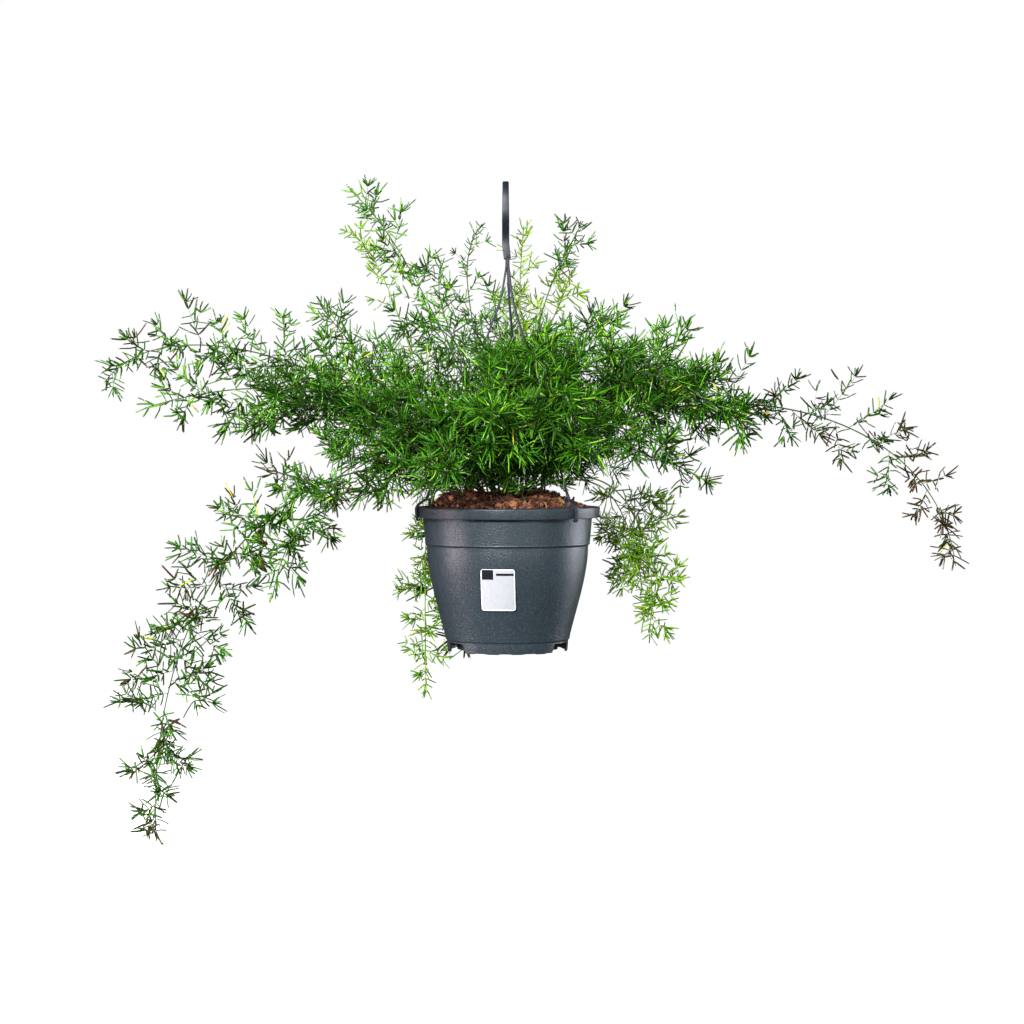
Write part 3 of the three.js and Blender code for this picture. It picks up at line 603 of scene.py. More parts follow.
@dataclass
class Pot:
    """The moulded pot: a tapered bowl with a down-turned rim, a shoulder ledge and a base ring on feet."""

    name: str = "hanging_pot"
    sides: int = 160
    wall: float = 1.6
    rim_radius: float = 95.0
    rim_height: float = 11.0
    lip_draft: float = 1.0
    lip_thickness: float = 1.9
    flange: float = 2.0
    neck_radius: float = 86.8
    band_foot: Pair = (84.4, -37.0)
    bowl: tuple[Pair, Pair, Pair, Pair] = ((82.8, -39.5), (82.8, -70.0), (70.4, -105.0), (63.4, -134.9))
    base_radius: float = 61.6
    height: float = 147.4
    floor_height: float = -135.4
    inner_ring: Triple = (50.0, 51.6, -146.0)  # its radii and its foot
    notch_count: int = 3
    notch_first: float = -148.0
    notch_width: float = 26.0
    notch_height: float = 9.5
    slot_count: int = 9
    slot_radius: float = 89.9
    slot_size: Pair = (2.8, 8.0)
    drain_count: int = 6
    drain_radius: float = 3.6
    drain_circle: float = 36.0
    foot_count: int = 15
    foot_relief: float = 0.6
    # the third colour is the pale tone of the painted glints
    finish: MouldedPlastic = MouldedPlastic(
        "grained moulded polypropylene, anthracite", "#28333a", "#212a30", "#4f5a62",
        roughness=0.32, grain=1.3, relief=0.4)

    def side(self, shares: Array) -> Array:
        """Gives radius and height of the bowl's outside at shares from the ledge to the base ring."""
        return bezier(self.bowl, shares)

    def profile(self) -> Array:
        """Gives the turned outline, from the middle of the underside up, over the rim and in to the floor.

        Corners are rounded with curves, and the bowl follows one cubic curve outside and, a wall in from
        it, inside.

        Returns:
            Radius and height pairs.
        """
        rim, neck = self.rim_radius, self.neck_radius
        lip_out = rim - self.lip_draft
        lip_in = lip_out - self.lip_thickness
        outer, inner = self.side(np.linspace(1, 0, 40)), self.side(np.linspace(0, 0.93, 30)) - (self.wall, 0)
        ring_in, ring_out, ring_foot = self.inner_ring
        underside = self.floor_height - 1.8
        under = rounded([
            (0.01, underside),
            (ring_in, underside),
            (ring_in, ring_foot),
            (ring_out, ring_foot),
            (ring_out, underside),
            (self.base_radius - 2, underside),
            (self.base_radius - 2, -self.height),
            (self.base_radius, -self.height),
            (self.base_radius + 0.8, self.bowl[3][1] - 1.2),
            (self.bowl[3][0] + 0.15, self.bowl[3][1] - 0.5),
            tuple(outer[2]),
        ], 0.7)
        over = rounded([
            tuple(outer[-3]),
            tuple(outer[-1]),
            (self.band_foot[0] + 0.25, self.band_foot[1] - 1.1),
            (self.band_foot[0] + 0.1, self.band_foot[1]),
            (neck, -self.rim_height),
            (neck, -self.flange),
            (lip_in, -self.flange),
            (lip_in, -self.rim_height),
            (lip_out, -self.rim_height),
            (rim, -1.2),
            (rim - 0.9, 0.0),
            (neck - self.wall - 0.4, 0.0),
            (neck - self.wall - 0.7, -self.rim_height),
            tuple(inner[2]),
        ], np.array([0.8, 0.5, 0.8, 1.5, 1.0, 1.0, 0.6, 0.7, 2.2, 1.8, 1.2, 2.0]))
        floor = rounded([
            tuple(inner[-3]),
            tuple(inner[-1]),
            (self.base_radius - 2.4, self.floor_height),
            (0.01, self.floor_height),
        ], 2.0)
        return np.vstack([under, outer[3:-3], over, inner[3:-3], floor])

    def feet(self, rings: Array) -> Array:
        """Lifts the base ring's underside between low feet.

        Points in the lowest 2 mm rise by the relief times a smoothed square wave of the angle round the
        pot.

        Args:
            rings: ring, corner and coordinate.

        Returns:
            The changed rings.
        """
        angle = np.arctan2(rings[..., 1], rings[..., 0])
        wave = np.clip(0.5 + 4 * np.sin(self.foot_count * angle + 0.6), 0, 1)
        low = np.clip((-self.height + 2.2 - rings[..., 2]) / 2.0, 0, 1)
        rings[..., 2] += self.foot_relief * wave * low
        return rings

    def cutters(self) -> bpy.types.Object:
        """Makes the shapes that cut the notches of the base ring, the rim's clip slots and the drain holes.

        Each is a prism: an outline on one face carried straight to the other.

        Returns:
            One object that holds them all.
        """
        draft = Draft("pot_cutters")
        half, tall = self.notch_width / 2, self.notch_height
        notch = rounded([(half - 6, -1.0), (half + 3, -1.0), (half, tall), (-half, tall), (-half - 3, -1.0),
                         (-half + 6, -1.0)], 1.6)
        for k in range(self.notch_count):
            face = np.stack([0 * notch[:, 0], notch[:, 0], notch[:, 1] - self.height], -1)
            ends = [round_z(face + (reach, 0, 0), self.notch_first + 360 / self.notch_count * k)
                    for reach in (self.base_radius - 7, self.base_radius + 8)]
            self.prism(draft, ends)
        angle = np.radians(np.arange(0, 360, 30))
        circle = np.stack([np.cos(angle), np.sin(angle)], -1)
        oval = np.sign(circle) * np.abs(circle) ** 0.5 * np.array(self.slot_size) / 2
        self.punch(draft, oval, self.slot_radius, (-5, 3), FIRST_CLIP, self.slot_count)
        floor = (self.floor_height - 6, self.floor_height + 6)
        self.punch(draft, self.drain_radius * circle, self.drain_circle, floor, 0, self.drain_count)
        cutters = bpy.data.objects.new(draft.name, draft.mesh())
        bpy.context.scene.collection.objects.link(cutters)
        return cutters

    def punch(self, draft: Draft, outline: Array, reach: float, heights: Pair, first: float,
              count: int) -> None:
        """Adds upright prisms of one outline, evenly round the axis.

        Args:
            draft: the mesh to add to.
            outline: points outwards and sideways.
            reach: how far from the axis the prisms stand.
            heights: their lower and upper ends.
            first: the first one's angle in degrees.
            count: how many there are.
        """
        for k in range(count):
            degrees = first + 360 / count * k
            ends = [np.c_[outline, np.full(len(outline), height)] + (reach, 0, 0) for height in heights]
            self.prism(draft, [round_z(end, degrees) for end in ends])

    @staticmethod
    def prism(draft: Draft, ends: Sequence[Array]) -> None:
        """Adds a closed prism between like outlines that run anticlockwise about the way between them."""
        rings = np.stack(ends)
        draft.tubes(rings[None], rings[:1].mean(axis=1), rings[-1:].mean(axis=1))

    def build(self) -> bpy.types.Object:
        """Turns the profile about the axis, cuts its openings and gives it its plastic.

        Returns:
            The pot.
        """
        radius, height = self.profile().T
        angle = 2 * np.pi * np.arange(self.sides) / self.sides
        rings = turned(radius, height, angle)
        draft = Draft(self.name)
        centre = np.zeros((1, 3))
        draft.tubes(self.feet(rings)[None], centre + (0, 0, height[0]), centre + (0, 0, height[-1]))
        pot = dress(draft, ["pot"], [self.finish.material()])
        cutters = self.cutters()
        cut = pot.modifiers.new("openings", "BOOLEAN")
        cut.object, cut.operation, cut.solver = cutters, "DIFFERENCE", "EXACT"
        bpy.context.view_layer.update()
        mesh = bpy.data.meshes.new_from_object(pot.evaluated_get(bpy.context.evaluated_depsgraph_get()))
        pot.modifiers.clear()
        pot.data = mesh
        mesh.shade_smooth()
        mesh.set_sharp_from_angle(angle=math.radians(38))
        bpy.data.objects.remove(cutters)
        return pot


@dataclass
class Hanger:
    """The moulded hanger: a flat rod hook and three strands, each with a clip astride the rim."""

    pot: Pot
    name: str = "pot_hanger"
    strand_count: int = 3
    width: float = 7.5
    bore: float = 14.0
    seat: float = 2.4
    crown: float = 12.0
    side: float = 4.2
    tip_drop: float = 23.0
    shank: float = 3.6
    shank_top: float = -19.0
    neck: float = -52.0
    foot: float = -69.0
    lean: float = -1.9  # how far the hook hangs to the left of the strands' joint
    strand_width: float = 2.6
    strand_thickness: float = 2.0
    route: tuple[Pair, ...] = (  # a strand's radii and heights above the rim
        (1.2, 257.0), (1.4, 246.0), (2.6, 238.0), (8.0, 211.0), (18.0, 184.0), (50.0, 100.0), (77.0, 31.0),
        (85.6, 9.0), (86.4, 7.2))
    clip_width: float = 5.0
    clip_thickness: float = 2.4
    clip_top: float = 9.0
    clip_foot: float = -14.2
    clip_inner: float = 81.2
    reaches: Triple = (7.5, 2.6, 4.6)  # how far from the shank, a strand and a clip no foliage grows
    # the third colour is the pale tone of the painted glints
    finish: MouldedPlastic = MouldedPlastic(
        "smooth moulded polypropylene, slate", "#151e29", "#0f151d", "#26313f",
        roughness=0.5, grain=1.2, relief=0.02)

    def hook_sides(self, count: int) -> tuple[Array, Array]:
        """Gives the hook's inner and outer outline, point for point, from its free tip over the arch down.

        The arch is a round bore inside and a taller half ellipse outside, with a short flat seat under its
        crown. Behind, both sides sweep from the arch back under the seat on a cubic curve.

        Args:
            count: how many points each stretch gets.

        Returns:
            Two arrays of Y and height above the seat.
        """
        centre = -math.sqrt(self.bore**2 - self.seat**2)
        outer = self.bore + self.side
        share = np.linspace(0, 1, count)[:, None]
        turn = np.linspace(0, np.pi, 3 * count)
        arch = np.stack([self.bore * np.cos(turn), centre + self.bore * np.sin(turn)], -1)
        arch[:, 1] = np.minimum(arch[:, 1], 0)
        shell = np.stack([outer * np.cos(turn), centre + (self.crown - centre) * np.sin(turn)], -1)
        half = self.shank / 2
        inside = [
            (self.bore, -self.tip_drop) + share * (0, centre + self.tip_drop),
            arch,
            (-self.bore, centre) + share * (0, self.shank_top - centre),
            bezier([(-self.bore, self.shank_top), (-self.bore, self.shank_top - 16), (half, self.neck + 16),
                    (half, self.neck)], share[:, 0]),
            (half, self.neck) + share * (0, self.foot - self.neck),
        ]
        outside = [
            (self.bore + self.side * 0.8, -self.tip_drop)
            + share * (self.side * 0.2, centre + self.tip_drop),
            shell,
            (-outer, centre) + share * (0, self.shank_top - centre),
            bezier([(-outer, self.shank_top), (-outer, self.shank_top - 14), (-half, self.neck + 15),
                    (-half, self.neck)], share[:, 0]),
            (-half, self.neck) + share * (0, self.foot - self.neck),
        ]
        keep = np.concatenate([np.arange(len(part)) > (0 if k else -1) for k, part in enumerate(inside)])
        return np.vstack(inside)[keep], np.vstack(outside)[keep]

    def add_hook(self, draft: Draft) -> None:
        """Adds the hook: the section between the two sides, carried along, a little narrower over the arch.

        Args:
            draft: the mesh to add to.
        """
        inside, outside = self.hook_sides(14)
        middle = (inside + outside) / 2
        half_depth = np.linalg.norm(outside - inside, axis=1) / 2
        lean = self.lean * np.interp(middle[:, 1], [self.foot, self.neck], [0, 1])
        path = np.c_[lean, middle[:, 0], middle[:, 1] + RIM_DROP]
        half_side = self.width / 2 * np.interp(middle[:, 1], [-30, 0], [1.0, 0.88])
        draft.carried(path, half_side, half_depth, np.array([1.0, 0, 0]), sides=24, squareness=7)
        rise = np.linspace(2.2, 6.2, 9)
        boss = np.stack([0 * rise, 0 * rise - self.shank / 2 - 0.55, RIM_DROP + self.foot + rise], -1)
        bow = np.sin(np.linspace(0.15, np.pi - 0.15, 9))
        draft.carried(boss, 1.25 * bow, 0.9 * bow, np.array([1.0, 0, 0]), sides=16, squareness=2.2)

    def add_strand(self, draft: Draft, degrees: float) -> None:
        """Adds one strand: a rounded strip along its route, swollen where it joins its clip.

        Between two points of the route the middle line is the cubic that meets both with their slopes,
        where a slope is the route's change from the point before to the one after.

        Args:
            draft: the mesh to add to.
            degrees: the strand's place round the pot.
        """
        route = np.asarray(self.route)
        runs = np.concatenate([[0], np.cumsum(np.linalg.norm(np.diff(route, axis=0), axis=1))])
        slopes = np.gradient(route, runs, axis=0)
        fine = np.linspace(0, runs[-1], 120)
        k = np.clip(np.searchsorted(runs, fine, "right") - 1, 0, len(runs) - 2)
        span = (runs[k + 1] - runs[k])[:, None]
        t = ((fine - runs[k]) / span[:, 0])[:, None]
        smooth = ((2 * t**3 - 3 * t**2 + 1) * route[k] + (t**3 - 2 * t**2 + t) * span * slopes[k]
                  + (3 * t**2 - 2 * t**3) * route[k + 1] + (t**3 - t**2) * span * slopes[k + 1])
        path = round_z(np.c_[smooth[:, 0], np.zeros(len(smooth)), smooth[:, 1]], degrees)
        across = round_z(np.array([0.0, 1.0, 0.0]), degrees)
        share = np.linspace(0, 1, len(path))
        swell = 1 + 0.5 * np.exp(-(((share - 1) / 0.03) ** 2))
        draft.carried(path, self.strand_width / 2 * swell, self.strand_thickness / 2 * swell, across,
                      sides=14, squareness=3)

    def add_clip(self, draft: Draft, degrees: float) -> None:
        """Adds one clip: a toe inside the wall, a bridge over the rim, and a leg that hooks under the lip.

        Args:
            draft: the mesh to add to.
            degrees: the clip's place round the pot.
        """
        half = self.clip_thickness / 2
        outside = self.pot.rim_radius + GAP + half
        under = -self.pot.rim_height - GAP
        route = rounded([
            (self.clip_inner + half, -2.4),
            (self.clip_inner + half, self.clip_top - half),
            (self.clip_inner + 6.0, self.clip_top - half - 0.1),
            (outside - 2.1, 2.5),
            (outside, -1.0),
            (outside - 0.6, under),
            (outside - 1.0, self.clip_foot + 0.6),
            (outside - 4.2, under - 0.9),
        ], np.array([3.2, 2.6, 3.0, 2.0, 1.5, 1.6]), steps=8)
        line = evenly(route, 90)
        path = round_z(np.c_[line[:, 0], np.zeros(len(line)), line[:, 1]], degrees)
        share = np.linspace(0, 1, len(path))
        taper = 1 - 0.45 * np.clip((share - 0.86) / 0.14, 0, 1)
        across = round_z(np.array([0.0, 1.0, 0.0]), degrees)
        side = self.clip_width / 2 * (1 - 0.12 * np.cos(2 * np.pi * share))
        draft.carried(path, side, half * taper, across, sides=18, squareness=4.5)

    def build(self) -> bpy.types.Object:
        """Makes the hook, the strands and the clips as one moulding.

        Returns:
            The hanger.
        """
        draft = Draft(self.name)
        self.add_hook(draft)
        for k in range(self.strand_count):
            degrees = FIRST_CLIP + 360 / self.strand_count * k
            self.add_strand(draft, degrees)
            self.add_clip(draft, degrees)
        return dress(draft, ["hanger"], [self.finish.material()], crease=50)

    def keep_out(self) -> tuple[Array, Array, Array]:
        """Gives the round bars that foliage keeps clear of.

        Returns:
            Their starts, their ends and their radii.
        """
        shank, strand, clip = self.reaches
        starts = [np.array([[0, 0, RIM_DROP + self.foot]])]
        ends = [np.array([[0, -10.0, RIM_DROP]])]
        radii = [[shank]]
        top, outside = self.clip_top - 2, self.pot.rim_radius + 2
        bridge = [(self.clip_inner, top), (outside, top), (outside, self.clip_foot)]
        for k in range(self.strand_count):
            for route, reach in ((self.route, strand), (bridge, clip)):
                line = np.array([[radius, 0, height] for radius, height in route])
                line = round_z(line, FIRST_CLIP + 360 / self.strand_count * k)
                starts.append(line[:-1])
                ends.append(line[1:])
                radii.append(np.full(len(line) - 1, reach))
        return np.vstack(starts), np.vstack(ends), np.concatenate(radii)


@dataclass(frozen=True)
class Strewn:
    """One kind of fibre that lies strewn on the mound."""

    count: int
    reach: Pair  # the shortest and the longest
    girth: Pair  # half the width and half the thickness
    tint: Pair  # the darkest and the palest
    spot: Triple  # x, y and radius of the area


@dataclass
class GrowingMedium:
    """The mound of bark and coir: a closed body in the pot, loose chips all over it, fibres and straws."""

    name: str = "bark_and_coir"
    base: float = -3.0
    crown: float = 13.0
    inner_radius: float = 85.2
    lumps: tuple[Box, ...] = (  # x, y, reach and height of each
        (-50, -16, 22, 9), (36, -12, 20, 7), (12, -26, 13, -7), (-8, 44, 26, 4))
    chip_count: int = 2600
    chip_size: float = 3.6  # half the length of a middling chip
    chip_spread: float = 0.5  # of the chips' sizes, as the deviation of their logarithm
    chip_limits: Pair = (1.4, 9.5)
    chip_tilt: float = 36.0  # degrees, the deviation of a chip's tip and roll
    fibres: Strewn = Strewn(260, (9, 30), (0.38, 0.3), (0.3, 0.8), (0, 0, 80))
    straws: Strewn = Strewn(12, (14, 30), (0.9, 0.35), (0.75, 1.0), (34, -38, 30))
    seed: int = 31
    finish: BarkAndCoir = BarkAndCoir()

    def height(self, x: Array, y: Array) -> Array:
        """Gives the surface's height above the rim.

        It is a dome that falls with the fourth power of the radius, a bell for each lump, and a low ripple.

        Args:
            x: millimetres along X.
            y: millimetres along Y.

        Returns:
            The heights.
        """
        share = np.hypot(x, y) / self.inner_radius
        height = self.base + (self.crown - self.base) * (1 - share**4) - self.crown * 0.3
        for cx, cy, reach, lump in self.lumps:
            height = height + lump * np.exp(-((x - cx) ** 2 + (y - cy) ** 2) / reach**2)
        return height + 0.9 * np.sin(x * 0.31 + 1) * np.cos(y * 0.27) * (1 - share)

    def roughness(self, x: Array, y: Array) -> Array:
        """Gives a crumbled relief.

        It adds four patterns of 3 to 11 mm, each the sine of one direction, bent by the other, times its
        cosine.

        Args:
            x: millimetres along X.
            y: millimetres along Y.

        Returns:
            Heights to add to the mound's.
        """
        total = 0 * x
        for size, depth, turn in ((11.0, 0.8, 0.4), (7.0, 0.6, 1.3), (4.3, 0.45, 2.2), (3.1, 0.3, 2.9)):
            a = (x * math.cos(turn) + y * math.sin(turn)) * 2 * np.pi / size
            b = (y * math.cos(turn) - x * math.sin(turn)) * 2 * np.pi / size
            total = total + depth * np.sin(a + 2 * np.sin(b * 0.37)) * np.cos(b)
        return total

    def add_body(self, draft: Draft, pot: Pot) -> None:
        """Adds the closed body: rings up the inside of the pot, then in across the mound to its middle.

        Args:
            draft: the mesh to add to.
            pot: the pot that holds it.
        """
        wall = pot.side(np.linspace(0.9, 0.0, 8)) - (pot.wall + 2 * GAP, 0)
        radii = np.linspace(self.inner_radius - 1.8, 1.5, 56)
        angle = 2 * np.pi * np.arange(180) / 180
        x, y = radii[:, None] * np.cos(angle), radii[:, None] * np.sin(angle)
        top = np.stack([x, y, self.height(x, y) + self.roughness(x, y) - 0.9], -1)
        base = np.array([[pot.base_radius - 3, pot.floor_height + GAP], *wall,
                         [pot.neck_radius - pot.wall - 1.6, -pot.rim_height]])
        rings = np.concatenate([turned(base[:, 0], base[:, 1], angle), top])
        middle = np.array([[0, 0, float(self.height(0.0, 0.0)) - 0.9]])
        draft.tubes(rings[None], np.array([[0, 0, base[0, 1]]]), middle, tint=0.1)

    def add_chips(self, draft: Draft, draw: np.random.Generator) -> None:
        """Adds the chips: bent flakes with six uneven corners, strewn over the mound at all angles.

        A flake's ring is at a radius that is drawn for each corner, stretched along its length, and lies
        at half its thickness above and below its middle. It lies near the surface, tipped and rolled by a
        draw, and its ends bend up or down with the square of their reach.

        Args:
            draft: the mesh to add to.
            draw: the source of the draws.
        """
        count, corners = self.chip_count, 6
        radius = (self.inner_radius - 4) * np.sqrt(draw.random(count))
        azimuth = draw.random(count) * 2 * np.pi
        x, y = radius * np.cos(azimuth), radius * np.sin(azimuth)
        length = draw.lognormal(math.log(self.chip_size), self.chip_spread, count)
        length = np.clip(length, *self.chip_limits)
        width = length * draw.uniform(0.35, 0.8, count)
        thick = np.clip(length * draw.uniform(0.14, 0.32, count), 0.5, 1.8)
        heading = draw.random(count) * 2 * np.pi
        tip, roll = np.radians(draw.normal(0, self.chip_tilt, (2, count)))
        along = np.stack([np.cos(heading) * np.cos(tip), np.sin(heading) * np.cos(tip), np.sin(tip)], -1)
        side = unit(np.cross([0, 0, 1.0], along))
        normal = np.cross(along, side)
        side, normal = (side * np.cos(roll)[:, None] + normal * np.sin(roll)[:, None],
                        normal * np.cos(roll)[:, None] - side * np.sin(roll)[:, None])
        angle = 2 * np.pi * np.arange(corners) / corners
        uneven = draw.uniform(0.7, 1.2, (count, 2, corners))
        step = np.array([-1.0, 1.0])[None, :, None]
        flat = (uneven * np.cos(angle))[..., None] * (length[:, None] * along)[:, None, None]
        flat = flat + (uneven * np.sin(angle))[..., None] * (width[:, None] * side)[:, None, None]
        lift = (step * thick[:, None, None])[..., None] * 0.5 * normal[:, None, None]
        lie = self.height(x, y) + self.roughness(x, y) * 0.6 + draw.uniform(-0.8, 2.6, count)
        centre = np.stack([x, y, lie], -1)
        bend = (uneven**2 * np.cos(angle) ** 2)[..., None] * (0.18 * length[:, None] * normal)[:, None, None]
        upward = draw.choice([-1, 1], count)[:, None, None, None]
        rings = centre[:, None, None] + flat * 0.62 + lift + bend * upward
        ends = [centre + sign * 0.62 * thick[:, None] * normal for sign in (-1, 1)]
        tint = np.clip(draw.beta(1.5, 2.0, count) * 0.92, 0.02, 0.98)
        draft.tubes(rings, *ends, tint=tint[:, None])

    def add_fibres(self, draft: Draft, draw: np.random.Generator, kind: Strewn) -> None:
        """Adds bent fibres that lie on the mound.

        A fibre's middle line is centre + heading s + side c s^2 over its length, at the surface's height
        plus a small arch, with a four-cornered section that thins to its ends.

        Args:
            draft: the mesh to add to.
            draw: the source of the draws.
            kind: their number, sizes, tints and place.
        """
        count, steps = kind.count, 7
        x, y, spread = kind.spot
        radius, azimuth = spread * np.sqrt(draw.random(count)), draw.random(count) * 2 * np.pi
        centre = np.stack([x + radius * np.cos(azimuth), y + radius * np.sin(azimuth)], -1)
        length, heading = draw.uniform(*kind.reach, count), draw.random(count) * 2 * np.pi
        way = np.stack([np.cos(heading), np.sin(heading)], -1)
        side = np.stack([-way[:, 1], way[:, 0]], -1)
        s = np.linspace(-0.5, 0.5, steps)
        curve = draw.normal(0, 0.35, count)
        flat = (centre[:, None] + way[:, None] * (length[:, None] * s)[..., None]
                + side[:, None] * (curve * length)[:, None, None] * (s**2)[None, :, None])
        room = (self.inner_radius - 3) / np.maximum(np.hypot(*np.moveaxis(flat, -1, 0)), 1e-6)
        flat = flat * np.minimum(room, 1)[..., None]
        bow, lie = draw.uniform(0.6, 3.0, count), draw.uniform(0.4, 1.8, count)
        arch = bow[:, None] * np.cos(np.pi * s) + lie[:, None]
        path = np.concatenate([flat, (self.height(flat[..., 0], flat[..., 1]) + arch)[..., None]], -1)
        ways = unit(np.gradient(path, axis=1))
        u, v = across_frame(ways, np.concatenate([side, np.zeros((count, 1))], -1)[:, None])
        angle = 2 * np.pi * np.arange(4) / 4
        thin = (1 - (1.9 * s) ** 2 * 0.8)[None, :, None, None]
        wide, thick = kind.girth
        rings = path[:, :, None] + thin * (thick * np.cos(angle)[:, None] * u[:, :, None]
                                           + wide * np.sin(angle)[:, None] * v[:, :, None])
        draft.tubes(rings, path[:, 0], path[:, -1], tint=draw.uniform(*kind.tint, (count, 1)))

    def build(self, pot: Pot) -> bpy.types.Object:
        """Makes the mound, its chips, its fibres and the pale straws at its front right.

        Args:
            pot: the pot that holds it.

        Returns:
            The growing medium.
        """
        draft = Draft(self.name)
        draw = np.random.default_rng(self.seed)
        self.add_body(draft, pot)
        self.add_chips(draft, draw)
        self.add_fibres(draft, draw, self.fibres)
        self.add_fibres(draft, draw, self.straws)
        return dress(draft, ["soil"], [self.finish.material()], crease=40)


@dataclass
class Sticker:
    """The paper sticker on the bowl: painted shadow at its edge, a white margin, a pale field and printed
    blocks.
    """

    name: str = "paper_sticker"
    width: float = 36.4
    height: float = 41.4
    turn: float = -97.0
    bowl_from: float = 0.212  # shares of the bowl's curve at its upper and lower side
    bowl_to: float = 0.665
    corner: float = 3.2
    lift: float = 0.2  # of its back off the bowl
    thickness: float = 0.3
    edge_shadow: Box = (0.0, 0.0, 0.0, 0.0)  # how far the shadow band, sheet and field each lie in from the left,
    sheet: Box = (0.9, 1.1, 1.0, 0.8)  # the bottom, the right and the top
    tinted: Box = (1.8, 2.3, 2.0, 1.7)
    block: Box = (-15.8, 9.9, 11.4, 9.4)  # left side, lower side, width and height on the sheet
    bar: Box = (-1.4, 13.6, 17.4, 2.2)

    @staticmethod
    def loop(box: Box, corner: float) -> Array:
        """Gives a rounded rectangle's points on the sheet.

        Each corner is a quarter circle, and each side between two of them is split evenly.

        Args:
            box: the rectangle's left side, lower side, width and height.
            corner: its corner radius.

        Returns:
            Points that run anticlockwise, seen from outside the pot.
        """
        left, bottom, width, height = box
        w, h = width / 2 - corner, height / 2 - corner
        quarter = np.linspace(0, np.pi / 2, 7)
        centres = np.array([(w, h), (-w, h), (-w, -h), (w, -h)])
        sides = []
        for k in range(4):
            turn = quarter + k * np.pi / 2
            ring = corner * np.stack([np.cos(turn), np.sin(turn)], -1)
            arc, beyond = centres[k] + ring, centres[(k + 1) % 4] + ring[-1]
            sides += [arc, arc[-1] + (beyond - arc[-1]) * np.linspace(0, 1, 13)[1:-1, None]]
        return np.vstack(sides) + (left + width / 2, bottom + height / 2)

    def bent(self, pot: Pot, sheet: Array, rise: float) -> Array:
        """Wraps points of the sheet round the bowl.

        A height on the sheet is a share of the bowl's curve, and a place across it is an arc at that
        radius.

        Args:
            pot: the pot that carries the sticker.
            sheet: points across and up.
            rise: how far off the bowl they lie.

        Returns:
            Points in space.
        """
        share = self.bowl_to + (self.bowl_from - self.bowl_to) * (sheet[..., 1] / self.height + 0.5)
        radius, height = np.moveaxis(pot.side(share), -1, 0)
        angle = np.radians(self.turn) + sheet[..., 0] / radius
        reach = radius + rise
        return np.stack([reach * np.cos(angle), reach * np.sin(angle), height], -1)

    def add_plate(self, draft: Draft, pot: Pot, box: Box, corner: float, rise: Pair, finish: int) -> None:
        """Adds a thin closed plate that follows the bowl.

        Its back, its edge and its face are one outline, scaled towards its middle in even steps and
        wrapped.

        Args:
            draft: the mesh to add to.
            pot: the pot that carries the sticker.
            box: the plate's left side, lower side, width and height.
            corner: its corner radius.
            rise: how far off the bowl its back and its face lie.
            finish: the number of its material.
        """
        middle = np.array([[box[0] + box[2] / 2, box[1] + box[3] / 2]])
        outline = self.loop(box, corner) - middle
        loops = [middle + share * outline for share in np.linspace(1.0, 0.1, 8)]
        back = [self.bent(pot, loop, rise[0]) for loop in loops[::-1]]
        face = [self.bent(pot, loop, rise[1]) for loop in loops]
        ends = [self.bent(pot, middle, height) for height in rise]
        draft.tubes(np.stack(back + face)[None], *ends, finish)

    def build(self, pot: Pot) -> bpy.types.Object:
        """Makes the painted edge shadow, the sheet on it and the field in that, each a hair prouder, and the
        blocks.

        Args:
            pot: the pot that carries the sticker.

        Returns:
            The sticker.
        """
        draft = Draft(self.name)
        top = self.lift + self.thickness
        left, bottom = -self.width / 2, -self.height / 2
        for number, (a, b, c, d) in enumerate((self.edge_shadow, self.sheet, self.tinted)):
            box = (left + a, bottom + b, self.width - a - c, self.height - b - d)
            self.add_plate(draft, pot, box, self.corner - 0.8 * a, (self.lift, top + 0.05 * number), number)
        for box in (self.block, self.bar):
            self.add_plate(draft, pot, box, 0.3, (top, top + 0.22), 3)
        finishes = [
            # the dark band that the sheet leaves bare at its edge is painted shadow round the label
            PrintedPaper("painted shadow round the label's edge, dark", "#0b0d14", "#08090f", 0.4),
            PrintedPaper("coated label paper, white", "#dce1e6", "#d2d8de"),
            PrintedPaper("printed tint on label paper, pale grey", "#b0b4b9", "#a8acb2"),
            PrintedPaper("printing ink, near black", "#15171f", "#0e1016", 0.35),
        ]
        return dress(draft, ["label"], [finish.material() for finish in finishes], crease=40)


@dataclass(frozen=True)
class Arc:
    """One stem's arc in the upright plane of its slot, each point a radius from the axis and a height."""

    slot: int
    lift: Pair
    shoulder: Pair
    tip: Pair
    young: bool = False
    spread: float = 1.0  # how much of the usual reach its sprays have
    bare: float | None = None  # how much of it carries nothing, for a tall thin stem
    fullness: float = 1.0  # how many of the usual twigs its sprays have
    needle: float = 22.0  # a middling needle's length
    tone: float = 0.0  # how much lighter its needles are than the rest
    weather: float = 0.0  # how far its tone falls towards brown at the tip


